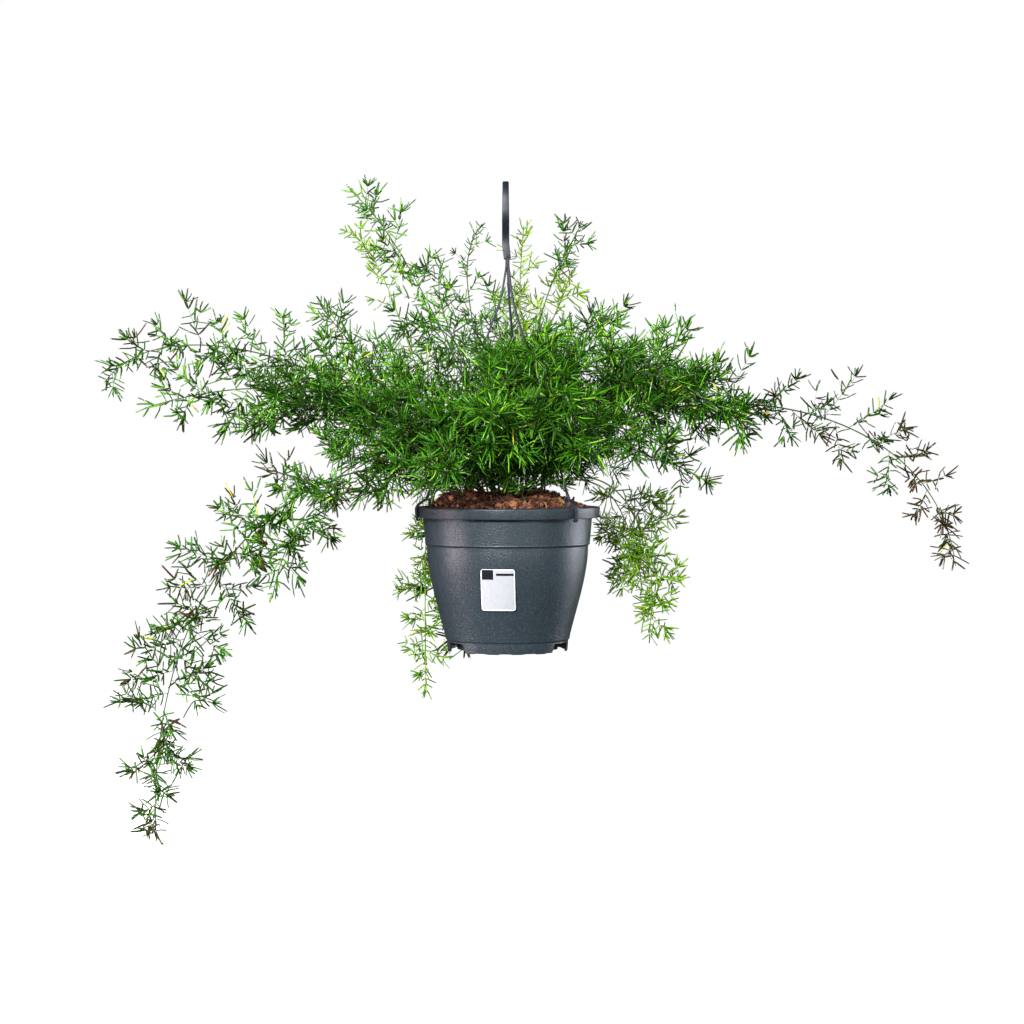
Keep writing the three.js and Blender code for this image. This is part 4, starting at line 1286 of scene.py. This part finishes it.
ARCS = (
    Arc(1, (70, 85), (150, 105), (200, 48), spread=0.8, fullness=0.9),
    Arc(3, (50, 150), (150, 175), (252, 78), spread=0.8),
    Arc(4, (60, 140), (190, 130), (255, 78), spread=1.2, needle=17.0),
    Arc(5, (110, 150), (432, 140), (453, -57), spread=0.8, fullness=0.3, needle=15.0, weather=0.3),
    Arc(6, (40, 130), (150, 150), (230, 95), fullness=0.7),
    Arc(7, (60, 130), (170, 165), (222, 120), fullness=0.6, needle=18.0, tone=0.08),
    Arc(8, (90, 70), (165, 62), (222, 22), spread=0.6, fullness=0.45, needle=17.0, weather=0.3),
    Arc(9, (40, 135), (140, 165), (215, 105), spread=0.7, fullness=0.7, needle=17.0),
    Arc(10, (90, 45), (190, 48), (174, -142), young=True, bare=125.0, fullness=1.8, needle=15.0,
        tone=-0.25),
    Arc(11, (90, 42), (182, 34), (180, -95), young=True, spread=0.8, bare=130.0, fullness=1.6,
        needle=15.0, tone=-0.25),
    Arc(12, (30, 120), (105, 200), (178, 205), spread=0.3, fullness=0.4, needle=18.0, tone=-0.04),
    Arc(13, (12, 120), (54, 208), (130, 302), spread=0.4, bare=235.0, fullness=0.5, needle=15.0,
        tone=-0.1),
    Arc(14, (30, 120), (90, 205), (150, 252), young=True, spread=0.5, fullness=0.3, needle=16.0,
        tone=-0.15),
    Arc(15, (34, 120), (26, 220), (46, 291), young=True, spread=0.15, bare=120.0, fullness=0.2,
        needle=13.0, tone=-0.15),
    Arc(17, (30, 110), (90, 190), (170, 150)),
    Arc(18, (50, 140), (150, 160), (230, 60)),
    Arc(19, (20, 130), (50, 205), (110, 228), spread=0.5, fullness=0.4, needle=16.0),
    Arc(21, (80, 62), (150, 62), (118, -158)),
    Arc(22, (40, 110), (150, 190), (141, 262), spread=0.5, fullness=0.3, needle=16.0),
    Arc(23, (20, 120), (110, 240), (42, 293), spread=0.1, bare=200.0, fullness=0.2, needle=10.0),
    Arc(24, (95, 70), (136, 14), (122, -200), young=True, spread=0.35, fullness=2.4, needle=13.0,
        tone=-0.3),
    Arc(25, (50, 120), (140, 170), (220, 120), spread=0.6, fullness=0.6, needle=17.0),
    Arc(26, (42, 135), (105, 255), (194, 335), spread=0.45, bare=200.0, fullness=0.38, needle=15.0),
    Arc(27, (95, 80), (120, 258), (186, 290), young=True, spread=0.3, bare=215.0, fullness=0.25,
        needle=12.0, tone=-0.25),
    Arc(28, (80, 90), (340, 240), (441, 130), spread=0.7, fullness=0.45, needle=16.0, tone=0.04,
        weather=0.16),
    Arc(29, (70, 95), (160, 150), (198, 212), spread=0.6, needle=17.0),
    Arc(30, (60, 95), (200, 125), (275, 76), spread=1.5, fullness=2.0, needle=18.0, tone=-0.05),
    Arc(31, (150, 100), (374, -20), (357, -333), spread=1.1, bare=115.0, fullness=0.9, needle=16.0,
        tone=-0.06, weather=0.12),
    Arc(33, (80, 110), (250, 145), (381, 99), needle=15.0, tone=0.02),
    Arc(34, (90, 88), (235, 74), (262, -85), bare=90.0, fullness=0.8, needle=16.0, tone=-0.05),
    Arc(35, (50, 125), (150, 140), (205, 70), needle=18.0, tone=-0.05),
    Arc(36, (70, 85), (140, 90), (176, 2), spread=1.2, fullness=1.5),
    Arc(37, (30, 150), (110, 215), (190, 170), spread=0.6, fullness=0.3, needle=17.0, tone=-0.05),
    Arc(38, (60, 95), (140, 105), (166, 8), fullness=1.4),
    Arc(39, (70, 70), (132, 80), (172, 24), fullness=1.3),
    Arc(41, (50, 100), (130, 130), (190, 75)),
    Arc(42, (60, 75), (115, 100), (160, 55), fullness=1.2),
    Arc(43, (25, 140), (90, 180), (160, 145), spread=0.7),
    Arc(44, (60, 95), (130, 125), (185, 75), fullness=1.2),
    Arc(45, (40, 110), (110, 140), (175, 100), spread=0.8),
    Arc(46, (70, 75), (125, 95), (170, 52), spread=0.8),
    Arc(47, (35, 140), (110, 180), (195, 145), spread=0.5, fullness=0.4, needle=18.0),
)


def draw_of(stem: int, item: int | Array, channel: int) -> float | Array:
    """Gives a repeatable draw from 0 to 1: the fraction of a large sine of three numbers.

    Args:
        stem: the stem's slot.
        item: the number of the thing drawn for.
        channel: what is drawn, so that two draws for one thing differ.

    Returns:
        The draw, or one for each item.
    """
    wave = np.sin(stem * 12.9898 + item * 78.233 + channel * 37.719 + SEED) * 43758.5453
    return wave - np.floor(wave)


@dataclass
class KeepOut:
    """What foliage stays clear of: the pot with its soil, and the hanger's bars."""

    pot: Pot
    soil: GrowingMedium
    bars: tuple[Array, Array, Array]
    near: float = 1.2  # how clear of a bar needles stay
    clearing: float = 8.0  # between the soil and the lowest needles
    parting: Pair = (24.0, 172.0)  # half the width and the foot of the open stripe where the strands rise
    window: Box = (-92.0, -50.0, -24.0, 16.0)  # an open spot at a clip, by its span along X and in height

    def blocked(self, points: Array) -> Array:
        """Says which points lie in the pot, in its soil, in an open spot or within reach of a bar.

        The pot's reach is its own side, or its rim's right under the rim. A point's distance to a bar is
        that to the bar's middle line, at the clamped share where it is nearest.

        Args:
            points: any array with coordinates along its last axis.

        Returns:
            True for each blocked point.
        """
        x, y, height = np.moveaxis(points, -1, 0)
        radius = np.hypot(x, y)
        side = self.pot.side(np.linspace(1, 0, 9))
        rim = self.pot.rim_radius
        reach = np.interp(height, [*side[:, 1], -16.0, -15.0], [*side[:, 0], rim - 8.0, rim])
        top = np.where(radius > self.pot.neck_radius - 4, 4.0, self.soil.height(x, y) + self.clearing)
        hit = (radius < reach + 3) & (height < top) & (height > -self.pot.height - 3)
        hit |= (np.abs(x) < self.parting[0]) & (height > self.parting[1]) & (y < 0)
        left, right, low, high = self.window
        hit |= (x > left) & (x < right) & (height > low) & (height < high) & (y < 0)
        starts, ends, radii = self.bars
        for start, way, reach in zip(starts, ends - starts, radii):
            share = np.clip((points - start) @ way / (way @ way), 0, 1)
            hit |= np.linalg.norm(points - start - share[..., None] * way, axis=-1) < reach + self.near
        return hit


@dataclass
class Shoots:
    """Straight-grown side shoots as whole arrays, one row a shoot."""

    starts: Array
    ways: Array
    reach: Array
    full: Array  # the length before any cut, which sets how much the shoot lifts
    lift: float = 0.16

    def at(self, rows: Array, s: Array) -> tuple[Array, Array]:
        """Gives places and directions at lengths s along shoots: start + way s + up lift s^2 / full.

        Args:
            rows: the shoots' numbers.
            s: lengths, with the rows' shape or more axes after it.

        Returns:
            The places and the unit directions.
        """
        more = (slice(None),) * np.ndim(rows) + (None,) * (np.ndim(s) - np.ndim(rows))
        start, way = self.starts[rows][more], self.ways[rows][more]
        rise = (self.lift / self.full)[rows][more]
        up = np.array([0, 0, 1.0])
        place = start + way * s[..., None] + (rise * s**2)[..., None] * up
        return place, unit(way + (2 * rise * s)[..., None] * up)

    def keep(self, kept: Array) -> "Shoots":
        """Gives only the shoots that are kept."""
        return Shoots(self.starts[kept], self.ways[kept], self.reach[kept], self.full[kept], self.lift)


def spaced(counts: Array) -> tuple[Array, Array]:
    """Numbers the items of groups of different sizes.

    Args:
        counts: how many items each group has.

    Returns:
        Each item's group, and its order within it.
    """
    group = np.repeat(np.arange(len(counts)), counts)
    return group, np.arange(len(group)) - np.repeat(np.cumsum(counts) - counts, counts)


@dataclass
class FernStem:
    """One leafy stem: a wiry stalk on its arc, sprays round it, twigs on them, and needles in clusters."""

    number: int
    arc: Arc
    first_slot: float = FIRST_CLIP
    slots: int = 48
    rings: Triple = (38.0, 25.0, 14.0)  # how far from the axis the stems stand, in turn
    straight: float = 3.0  # how far a stalk rises upright out of the soil
    depth: float = 22.0  # and how deep it stands in it
    sway: float = 0.035  # sideways, as a share of the radius
    samples: int = 121  # of the arc's line
    base_radius: float = 0.95
    tip_radius: float = 0.45
    spray_pitch: float = 15.0
    spray_every: int = 5
    spray_radius: float = 0.38
    spray_tilt: float = 58.0
    spray_turn: float = 144.0  # from one spray to the next, so that five in a row stand evenly round
    spray_reach: Pair = (20.0, 32.0)  # the shortest, and what the ones half way along add
    skirt: int = 4  # how many sprays stand below the rest
    tries: tuple[Pair, ...] = (  # what a spray tries until it is clear: a turn and a share of its reach
        (0, 1), (40, 1), (-40, 1), (80, 0.9), (-80, 0.9), (140, 0.8), (0, 0.6), (180, 0.6))
    twig_pitch: float = 12.0
    twig_radius: float = 0.27
    node_pitch: float = 5.8  # between clusters of needles on a spray or twig
    cluster: int = 3
    crowns: tuple[int, int] = (9, 5)  # needles at the end of a spray and of a twig
    crown_reach: float = 62.0  # the end of the stalk, which carries needles itself
    needle_lean: Triple = (76.0, 24.0, 17.0)  # degrees: at first, how much less at a shoot's end, and spread
    needle_width: float = 0.78  # half of it, for a needle 20 mm long
    needle_thickness: float = 0.6
    heart: Triple = (0.0, 0.0, 80.0)  # the middle of the bush
    fringe: Pair = (120.0, 250.0)  # how far from the heart its needles start to stand free, and are freest
    stouter: float = 0.5  # how much stouter the freest needles are, so that single ones still show
    thinning: float = 0.24  # the share of them that is missing
    weathered: Pair = (140.0, 430.0)  # how far from the pot's axis a stem's browning starts and is full
    tones: Triple = (0.43, 0.14, 0.15)  # the lowest stem's, what the highest adds, and a stem's spread
    tone_limits: Pair = (0.33, 0.68)
    fringe_shade: float = 0.08  # how much darker the freest needles are
    dying: float = 0.003  # the share of needles that has turned yellow
    relief: float = 0.17  # crown lighter, its real midrib and painted highlight; edges darker, painted shade

    def __post_init__(self) -> None:
        """Works out the stem's plane, its name and its source of draws."""
        angle = math.radians(self.first_slot + 360 / self.slots * self.arc.slot)
        self.across = np.array([-math.sin(angle), math.cos(angle), 0])
        self.outward = np.array([math.cos(angle), math.sin(angle), 0])
        self.name = f"fern_stem_{self.number:02d}"
        self.random = np.random.default_rng(1000 + self.arc.slot)

    def trace(self, soil: GrowingMedium) -> None:
        """Works out the arc's points, its length and where its leaves start.

        The arc is a cubic curve of radius and height that starts upright in the soil, and it sways
        sideways as a sine of its share, more with the radius.

        Args:
            soil: the growing medium that the stem stands in.
        """
        arc, root = self.arc, self.rings[self.arc.slot % len(self.rings)]
        foot = self.outward * root
        surface = float(soil.height(foot[0], foot[1])) + self.straight
        share = np.linspace(0, 1, self.samples)
        radius, height = bezier([(root, surface), arc.lift, arc.shoulder, arc.tip], share).T
        sway = self.sway * (radius - root) * np.sin(2 * np.pi * (share * 1.4 + draw_of(arc.slot, 0, 1)))
        level = radius[:, None] * self.outward + sway[:, None] * self.across
        self.line = level + height[:, None] * (0, 0, 1)
        self.runs = np.concatenate([[0], np.cumsum(np.linalg.norm(np.diff(self.line, axis=0), axis=1))])
        self.length = float(self.runs[-1])
        self.ways = unit(np.gradient(self.line, self.runs, axis=0))
        self.bare = arc.bare or float(np.clip(0.24 * self.length, 42, 78))
        self.foot = np.array([*foot[:2], surface - self.straight - self.depth])

    def at(self, run: Array) -> tuple[Array, Array]:
        """Gives places and directions along the arc.

        Args:
            run: lengths from the soil's surface.

        Returns:
            The places and the unit directions.
        """
        place = np.stack([np.interp(run, self.runs, self.line[:, k]) for k in range(3)], -1)
        way = np.stack([np.interp(run, self.runs, self.ways[:, k]) for k in range(3)], -1)
        return place, unit(way)

    def add_stalk(self, draft: Draft) -> None:
        """Adds the stalk: a six-cornered tube that tapers, with a low swelling at each spray.

        Its radius falls evenly with the length and swells with the fourth power of a cosine of it.

        Args:
            draft: the mesh to add to.
        """
        run = np.linspace(0, self.length, 50)
        place, way = self.at(run)
        place = np.vstack([self.foot, place])
        way = np.vstack([[0, 0, 1.0], way])
        run = np.concatenate([[0], run])
        first, second = across_frame(way, self.across)
        radius = self.base_radius + (self.tip_radius - self.base_radius) * run / self.length
        radius = radius * (1 + 0.15 * np.cos(2 * np.pi * run / self.spray_pitch) ** 4)
        rings = self.ring(place, first, second, radius[:, None, None], 6)
        draft.tubes(rings[None], place[:1], place[-1:] + way[-1:], finish=1, along=run[None] / self.length)

    @staticmethod
    def ring(place: Array, first: Array, second: Array, radius: Array, sides: int) -> Array:
        """Gives the corners of round sections: place + radius (first cos a + second sin a).

        Args:
            place: the sections' middles.
            first: one unit vector across each.
            second: the other.
            radius: their radii, with two more axes at the end.
            sides: how many corners a section has.

        Returns:
            The corners, along the last axis but one.
        """
        angle = (2 * np.pi * np.arange(sides) / sides)[:, None]
        spokes = np.cos(angle) * first[..., None, :] + np.sin(angle) * second[..., None, :]
        return place[..., None, :] + radius * spokes

    def sprays(self, keep_out: KeepOut) -> Shoots:
        """Works out where each side spray starts, its direction and its length.

        A spray leaves the stalk at a lean, turned by the golden angle from the one before it on its rank,
        with a draw on each. It takes the first of several turns and lengths whose middle line is clear. A
        few short ones stand below the rest, as a skirt.

        Args:
            keep_out: what it stays clear of.

        Returns:
            The sprays.
        """
        slot = self.arc.slot
        count = int((self.length - 20 - self.bare) / self.spray_pitch)
        first = int(draw_of(slot, 0, 6) * self.spray_every * 0.5)
        index = np.arange(0 if self.arc.young or self.arc.bare else -self.skirt, count + 1)
        run = self.bare + (index + 0.5 * draw_of(slot, index, 2)) * self.spray_pitch
        index, run = index[run > 16], run[run > 16]
        share = np.clip((run - self.bare) / (self.length - self.bare), 0, 1)
        swell = np.sin(np.pi * (0.15 + 0.8 * share))
        short, more = self.spray_reach
        full = (short + more * swell * self.arc.spread) * (0.8 + 0.4 * draw_of(slot, index, 3))
        full = full * np.interp(self.length - run, [20, 110], [0.6, 1])
        lean = np.radians(self.spray_tilt + 20 * (draw_of(slot, index, 4) - 0.5) + 30 * (index < 0))
        turn = GOLDEN * (index // self.spray_every) + 50 * draw_of(slot, index, 5)
        turn = turn + self.spray_turn * ((index - first) % self.spray_every)
        place, way = self.at(run)
        first_way, second_way = across_frame(way, self.across)
        swing, part = np.array(self.tries).T
        angle = np.radians(turn[:, None] + swing)[..., None]
        lean = lean[:, None, None]
        ways = unit(way[:, None] * np.cos(lean) + np.sin(lean) * (np.cos(angle) * first_way[:, None]
                                                                  + np.sin(angle) * second_way[:, None]))
        tries, rows = len(self.tries), len(index)
        every = Shoots(np.repeat(place, tries, axis=0), ways.reshape(-1, 3), (full[:, None] * part).ravel(),
                       np.repeat(full, tries))
        line, _ = every.at(np.arange(rows * tries), every.reach[:, None] * np.linspace(0.25, 1, 5))
        clear = ~keep_out.blocked(line).any(axis=1).reshape(rows, tries)
        chosen = np.arange(rows) * tries + clear.argmax(axis=1)
        return every.keep(chosen[clear.any(axis=1)])

    def twigs(self, sprays: Shoots, keep_out: KeepOut) -> Shoots:
        """Works out the twigs, which leave a spray on alternate sides and get shorter towards its end.

        Args:
            sprays: the shoots that carry them.
            keep_out: what they stay clear of.

        Returns:
            The twigs.
        """
        counts = np.rint((sprays.reach - 10) / self.twig_pitch * self.arc.fullness)
        counts = np.maximum(0, counts).astype(int)
        spray, order = spaced(counts)
        draw = self.random
        step = ((sprays.reach - 11) / np.maximum(counts, 1))[spray]
        s = 6 + (order + draw.uniform(0.1, 0.8, len(order))) * step
        place, tangent = sprays.at(spray, s)
        first, second = self.section(tangent)
        turn = np.radians(166 * order + 57 * spray + draw.uniform(-30, 30, len(order)))[:, None]
        lean = np.radians(draw.normal(54, 9, len(order)))[:, None]
        way = unit(tangent * np.cos(lean) + np.sin(lean) * (np.cos(turn) * first + np.sin(turn) * second))
        reach = (6 + 0.42 * (sprays.reach[spray] - s)) * draw.uniform(0.75, 1.25, len(order))
        twigs = Shoots(place, way, reach, reach)
        line, _ = twigs.at(np.arange(len(reach)), reach[:, None] * np.array([0.5, 1.0]))
        return twigs.keep(~keep_out.blocked(line).any(axis=1))

    def section(self, ways: Array) -> tuple[Array, Array]:
        """Gives two vectors across each direction, the second near upright, or level for an upright one."""
        hint = np.where(np.abs(ways[..., 2:]) > 0.85, self.across, (0, 0, 1.0))
        return across_frame(ways, hint)

    def add_cores(self, draft: Draft, shoots: Shoots, radius: float) -> None:
        """Adds the cores of shoots: slim three-cornered tubes that taper and end in a point.

        Args:
            draft: the mesh to add to.
            shoots: the sprays or the twigs.
            radius: the core's at a shoot's start.
        """
        share = np.linspace(0, 1, 4)
        place, tangent = shoots.at(np.arange(len(shoots.reach)), shoots.reach[:, None] * share)
        girth = radius * (1 - 0.6 * share)[None, :, None, None]
        rings = self.ring(place, *self.section(tangent), girth, 3)
        tips = place[:, -1] + tangent[:, -1]
        draft.tubes(rings, place[:, 0], tips, finish=1, along=0.6 + 0.4 * share[None])

    def clusters(self, shoots: Shoots, bare: float, crown: int) -> tuple[Array, Array, Array, Array, Array]:
        """Places clusters of needles along shoots.

        Args:
            shoots: what carries them.
            bare: how far from its start a shoot's first cluster is.
            crown: how many needles the last cluster has.

        Returns:
            Their places, the directions there, how far out each one is, its tint and its number of needles.
        """
        counts = np.maximum(2, ((shoots.reach - bare) / self.node_pitch).astype(int) + 1)
        shoot, order = spaced(counts)
        s = bare + order * ((shoots.reach - bare) / (counts - 1))[shoot]
        place, tangent = shoots.at(shoot, s)
        tint = self.random.normal(0, 0.09, len(counts))[shoot]
        members = np.where(order == counts[shoot] - 1, crown, self.cluster)
        return place, tangent, s / shoots.reach[shoot], tint, members

    def crown_clusters(self) -> tuple[Array, Array, Array, Array, Array]:
        """Places clusters of needles along the stalk's own last stretch.

        Returns:
            The same five as for shoots.
        """
        run = np.arange(self.length - self.crown_reach, self.length, self.node_pitch)
        place, way = self.at(run)
        out = 1 - (self.length - run) / self.crown_reach
        return place, way, out, np.full(len(run), 0.05), np.full(len(run), self.cluster)

    def add_needles(self, draft: Draft, keep_out: KeepOut, nodes: Array, ways: Array, out: Array,
                    tint: Array, members: Array) -> None:
        """Adds the needles: slim curved blades with a pale crown and darker edges, closed at both ends.

        A needle's middle line is root + L (way q + bend q^2), with q from 0 to 1. Its section is a flat
        triangle, with corners at the two edges and the crown. Its crown is lighter than its tone, the real
        paler midrib with a painted highlight, and its edges darker, as painted shade. Each cluster is turned
        by the golden angle from the one before it, the last one of a shoot has more needles, and needles
        lean less near its end. Needles at the bush's fringe are stouter, darker and fewer.

        Args:
            draft: the mesh to add to.
            keep_out: what the needles stay clear of.
            nodes: the clusters' places.
            ways: the directions of their shoots.
            out: how far out on its shoot each cluster is.
            tint: the clusters' tints.
            members: how many needles each cluster has.
        """
        draw = self.random
        node, member = spaced(members)
        count = len(node)
        shoot, out, members = ways[node], out[node], members[node]
        first, second = self.section(shoot)
        turn = np.radians(GOLDEN * node + 360 / members * member + draw.uniform(-34, 34, count))[:, None]
        radial = first * np.cos(turn) + second * np.sin(turn)
        most, less, spread = self.needle_lean
        lean = np.radians(most - less * out**3 + draw.normal(0, spread, count))[:, None]
        way = unit(shoot * np.cos(lean) + radial * np.sin(lean))
        length = self.arc.needle * (1 - 0.2 * out**3) * draw.uniform(0.68, 1.2, count)
        side = unit(np.cross(shoot, way) + 0.5 * draw.normal(0, 1, (count, 3)))
        bend = draw.normal(0.22, 0.16, count)[:, None] * shoot + 0.15 * draw.normal(0, 1, (count, 3))
        share = np.array([0.0, 0.12, 0.5, 0.9, 1.0])
        path = (nodes[node][:, None] + (length[:, None] * share)[..., None] * way[:, None]
                + (length[:, None] * share**2)[..., None] * bend[:, None])
        outer = np.interp(np.linalg.norm(path[:, 0] - self.heart, axis=1), self.fringe, [0, 1])
        kept = ~keep_out.blocked(path[:, 1:]).any(axis=1) & (draw.random(count) > self.thinning * outer)
        path, side, tint, outer = path[kept], side[kept], tint[node][kept], outer[kept]
        keel, edge = across_frame(unit(np.gradient(path, axis=1)), side[:, None])
        stout = math.sqrt(self.arc.needle / 20) * (1 + self.stouter * outer)[:, None, None]
        middle, keel, edge = path[:, 1:4], keel[:, 1:4], edge[:, 1:4]
        width = self.needle_width * stout * np.array([0.95, 1.0, 0.8])[:, None]
        thick = self.needle_thickness * stout
        low = middle - keel * thick * 0.4
        rings = np.stack([low + edge * width, low - edge * width, middle + keel * thick * 0.8], axis=2)
        # crown lighter by the relief, the real paler midrib with a painted highlight; edges darker, painted
        # shade
        corners = self.shades(path[:, 0], tint, outer)[:, None] + self.relief * np.array([-1, -1, 1])
        draft.tubes(rings, path[:, 0], path[:, 4], tint=corners, along=share[None, 1:4])

    def shades(self, roots: Array, tint: Array, outer: Array) -> Array:
        """Draws the needles' tones: lighter and darker about the stem's own, and a few that are dying.

        Args:
            roots: where the needles start.
            tint: their clusters' tints.
            outer: how far into the bush's fringe each one is, from 0 to 1.

        Returns:
            A place on the skin's colour ramp for each needle.
        """
        draw, count = self.random, len(roots)
        lowest, more, spread = self.tones
        gone = np.interp(np.hypot(roots[:, 0], roots[:, 1]), self.weathered, [0, 1])
        shade = lowest + more * draw_of(self.arc.slot, 3, 11) + tint + draw.normal(0, spread, count)
        shade = np.clip(shade, *self.tone_limits) + self.arc.tone
        shade = shade - self.fringe_shade * outer - self.arc.weather * gone**2
        return np.where(draw.random(count) < self.dying, draw.uniform(0.95, 1.1, count), shade)

    def build(self, soil: GrowingMedium, keep_out: KeepOut, needle: bpy.types.Material,
              stalk: bpy.types.Material) -> bpy.types.Object:
        """Makes the stem.

        Args:
            soil: the growing medium that it stands in.
            keep_out: what its foliage stays clear of.
            needle: the finish of its needles.
            stalk: the finish of its stalk and cores.

        Returns:
            The stem.
        """
        draft = Draft(self.name)
        self.trace(soil)
        self.add_stalk(draft)
        sprays = self.sprays(keep_out)
        twigs = self.twigs(sprays, keep_out)
        self.add_cores(draft, sprays, self.spray_radius)
        self.add_cores(draft, twigs, self.twig_radius)
        parts = zip(self.clusters(sprays, 5.0, self.crowns[0]), self.clusters(twigs, 3.0, self.crowns[1]),
                    self.crown_clusters())
        self.add_needles(draft, keep_out, *(np.concatenate(part) for part in parts))
        return dress(draft, [f"stem_{self.number:02d}"], [needle, stalk])


@dataclass(frozen=True)
class Lamp:
    """One soft lamp that faces a point and isn't itself seen."""

    name: str
    place: Triple  # metres
    aim: Triple
    power: float  # watts
    size: Pair  # width and height
    colour: str = "#ffffff"

    def build(self) -> None:
        """Hangs the lamp: its own Z axis points from its aim to its place, and its X axis is level."""
        data = bpy.data.lights.new(self.name, "AREA")
        data.shape = "RECTANGLE"
        data.energy = self.power
        data.color = linear(self.colour)[:3]
        data.size, data.size_y = self.size
        lamp = bpy.data.objects.new(self.name, data)
        bpy.context.scene.collection.objects.link(lamp)
        back = np.array(self.place, float)
        away = unit(back - np.array(self.aim, float))
        right = unit(np.cross([0, 0, 1.0], away))
        matrix = np.eye(4)
        matrix[:3, :3] = np.stack([right, np.cross(away, right), away], -1)
        matrix[:3, 3] = back
        lamp.matrix_world = matrix.T.tolist()
        lamp.visible_camera = False


@dataclass
class Studio:
    """A white studio: a pale floor under the hanging pot, an even white world, soft lamps and the camera."""

    floor_height: float = -0.86
    floor_radius: float = 7.0
    floor_edge: float = 10.0  # how deep the floor's turned-down edge is, in millimetres
    eye: Triple = (0.0046, -2.55, -0.2537)
    view_width: float = 1.0516  # metres across the picture at the pot's axis
    sensor: float = 36.0
    shift: float = -0.0703  # the horizon stands 72 of 1024 pixels above the picture's middle
    fill: float = 0.07  # what the white surroundings add to the lamps
    lamps: tuple[Lamp, ...] = (
        Lamp("key_softbox", (-0.7, -2.5, 0.6), (0, 0, -0.25), 140, (0.4, 0.4)),
        Lamp("front_right_softbox", (1.5, -2.2, 0.1), (0, 0, -0.3), 22, (0.8, 0.8)),
        Lamp("left_strip", (-2.2, -0.5, -0.1), (0, 0, -0.4), 68, (0.3, 1.6), "#ffe9ef"),
        Lamp("right_strip", (2.0, 0.9, -0.1), (0, 0, -0.4), 42, (0.35, 1.6), "#eef2ff"),
    )

    def floor(self) -> None:
        """Makes the floor: a disc with a turned-down edge, as rings about the axis."""
        draft = Draft("studio_floor")
        angle = 2 * np.pi * np.arange(96) / 96
        radius = np.array([self.floor_radius, self.floor_radius, self.floor_radius * 0.5]) / MM
        height = np.array([-self.floor_edge, 0.0, 0.0]) + self.floor_height / MM + RIM_DROP
        rings = turned(radius, height, angle)
        centre = np.array([[0, 0, height[0]], [0, 0, height[-1]]])
        draft.tubes(rings[None], centre[:1], centre[1:])
        floor = bpy.data.objects.new(draft.name, draft.mesh())
        bpy.context.scene.collection.objects.link(floor)
        board = PrintedPaper("matt studio board, lit from below", "#ffffff", "#fbfbfb", 0.9).material()
        shader = board.node_tree.nodes["Principled BSDF"]
        shader.inputs["Emission Color"].default_value = (1, 1, 1, 1)
        shader.inputs["Emission Strength"].default_value = 1.0
        floor.data.materials.append(board)
        floor.visible_diffuse = False
        floor.visible_glossy = False

    def world(self) -> None:
        """Makes the white world, brighter to the camera than the fill it gives, and the plain view of it."""
        world = bpy.data.worlds.new("white_studio")
        bpy.context.scene.world = world
        world.use_nodes = True
        world.node_tree.nodes.clear()
        tree = world.node_tree
        backdrop = add_node(tree, "ShaderNodeBackground", values={"Color": (1, 1, 1, 1), "Strength": 1.0})
        fill = add_node(tree, "ShaderNodeBackground", values={"Color": (1, 1, 1, 1), "Strength": self.fill})
        seen = add_node(tree, "ShaderNodeLightPath").outputs["Is Camera Ray"]
        both = add_node(tree, "ShaderNodeMixShader", {0: seen, 1: fill.outputs[0], 2: backdrop.outputs[0]})
        add_node(tree, "ShaderNodeOutputWorld", {"Surface": both.outputs[0]})
        bpy.context.scene.view_settings.view_transform = "Standard"

    def camera(self) -> None:
        """Sets the camera: level, at the height of the foliage, with the lens that spans the picture."""
        data = bpy.data.cameras.new("camera")
        data.sensor_width = self.sensor
        data.lens = self.sensor * -self.eye[1] / self.view_width
        data.shift_y = self.shift
        camera = bpy.data.objects.new("camera", data)
        bpy.context.scene.collection.objects.link(camera)
        camera.location = self.eye
        camera.rotation_euler = (math.pi / 2, 0, 0)
        bpy.context.scene.camera = camera

    def build(self) -> None:
        """Makes the whole studio."""
        self.world()
        self.floor()
        for lamp in self.lamps:
            lamp.build()
        self.camera()


def main() -> None:
    """Builds the studio and every piece in order."""
    logging.basicConfig(level=logging.INFO, format="%(name)s %(message)s")
    Studio().build()
    pot, soil = Pot(), GrowingMedium()
    hanger = Hanger(pot)
    pot.build()
    hanger.build()
    soil.build(pot)
    Sticker().build(pot)
    mature = NeedleSkin(
        "waxed needle skin, mature green",
        ((0.0, "#50381e"), (0.05, "#2a2a0a"), (0.16, "#18300a"), (0.42, "#2d6c0a"), (0.6, "#5aa812"),
         (0.77, "#96cc38"), (0.92, "#c8d03c"), (1.0, "#ead04a")),
        root="#6f9c34", tip="#33240f").material()
    young = NeedleSkin(
        "waxed needle skin, young yellow-green",
        ((0.0, "#4f880c"), (0.4, "#8cba14"), (0.7, "#b9da2e"), (1.0, "#ecea5c")),
        root="#bcd660", tip="#6a561e", browning=0.3).material()
    mature_stalk = StalkSkin("wiry stalk skin, green", "#264a0e", "#2e3d14").material()
    young_stalk = StalkSkin("wiry stalk skin, young", "#6c8c28", "#8f8a4c").material()
    keep_out = KeepOut(pot, soil, hanger.keep_out())
    for number, arc in enumerate(ARCS, start=1):
        skins = (young, young_stalk) if arc.young else (mature, mature_stalk)
        FernStem(number, arc).build(soil, keep_out, *skins)


if __name__ == "__main__":
    main()
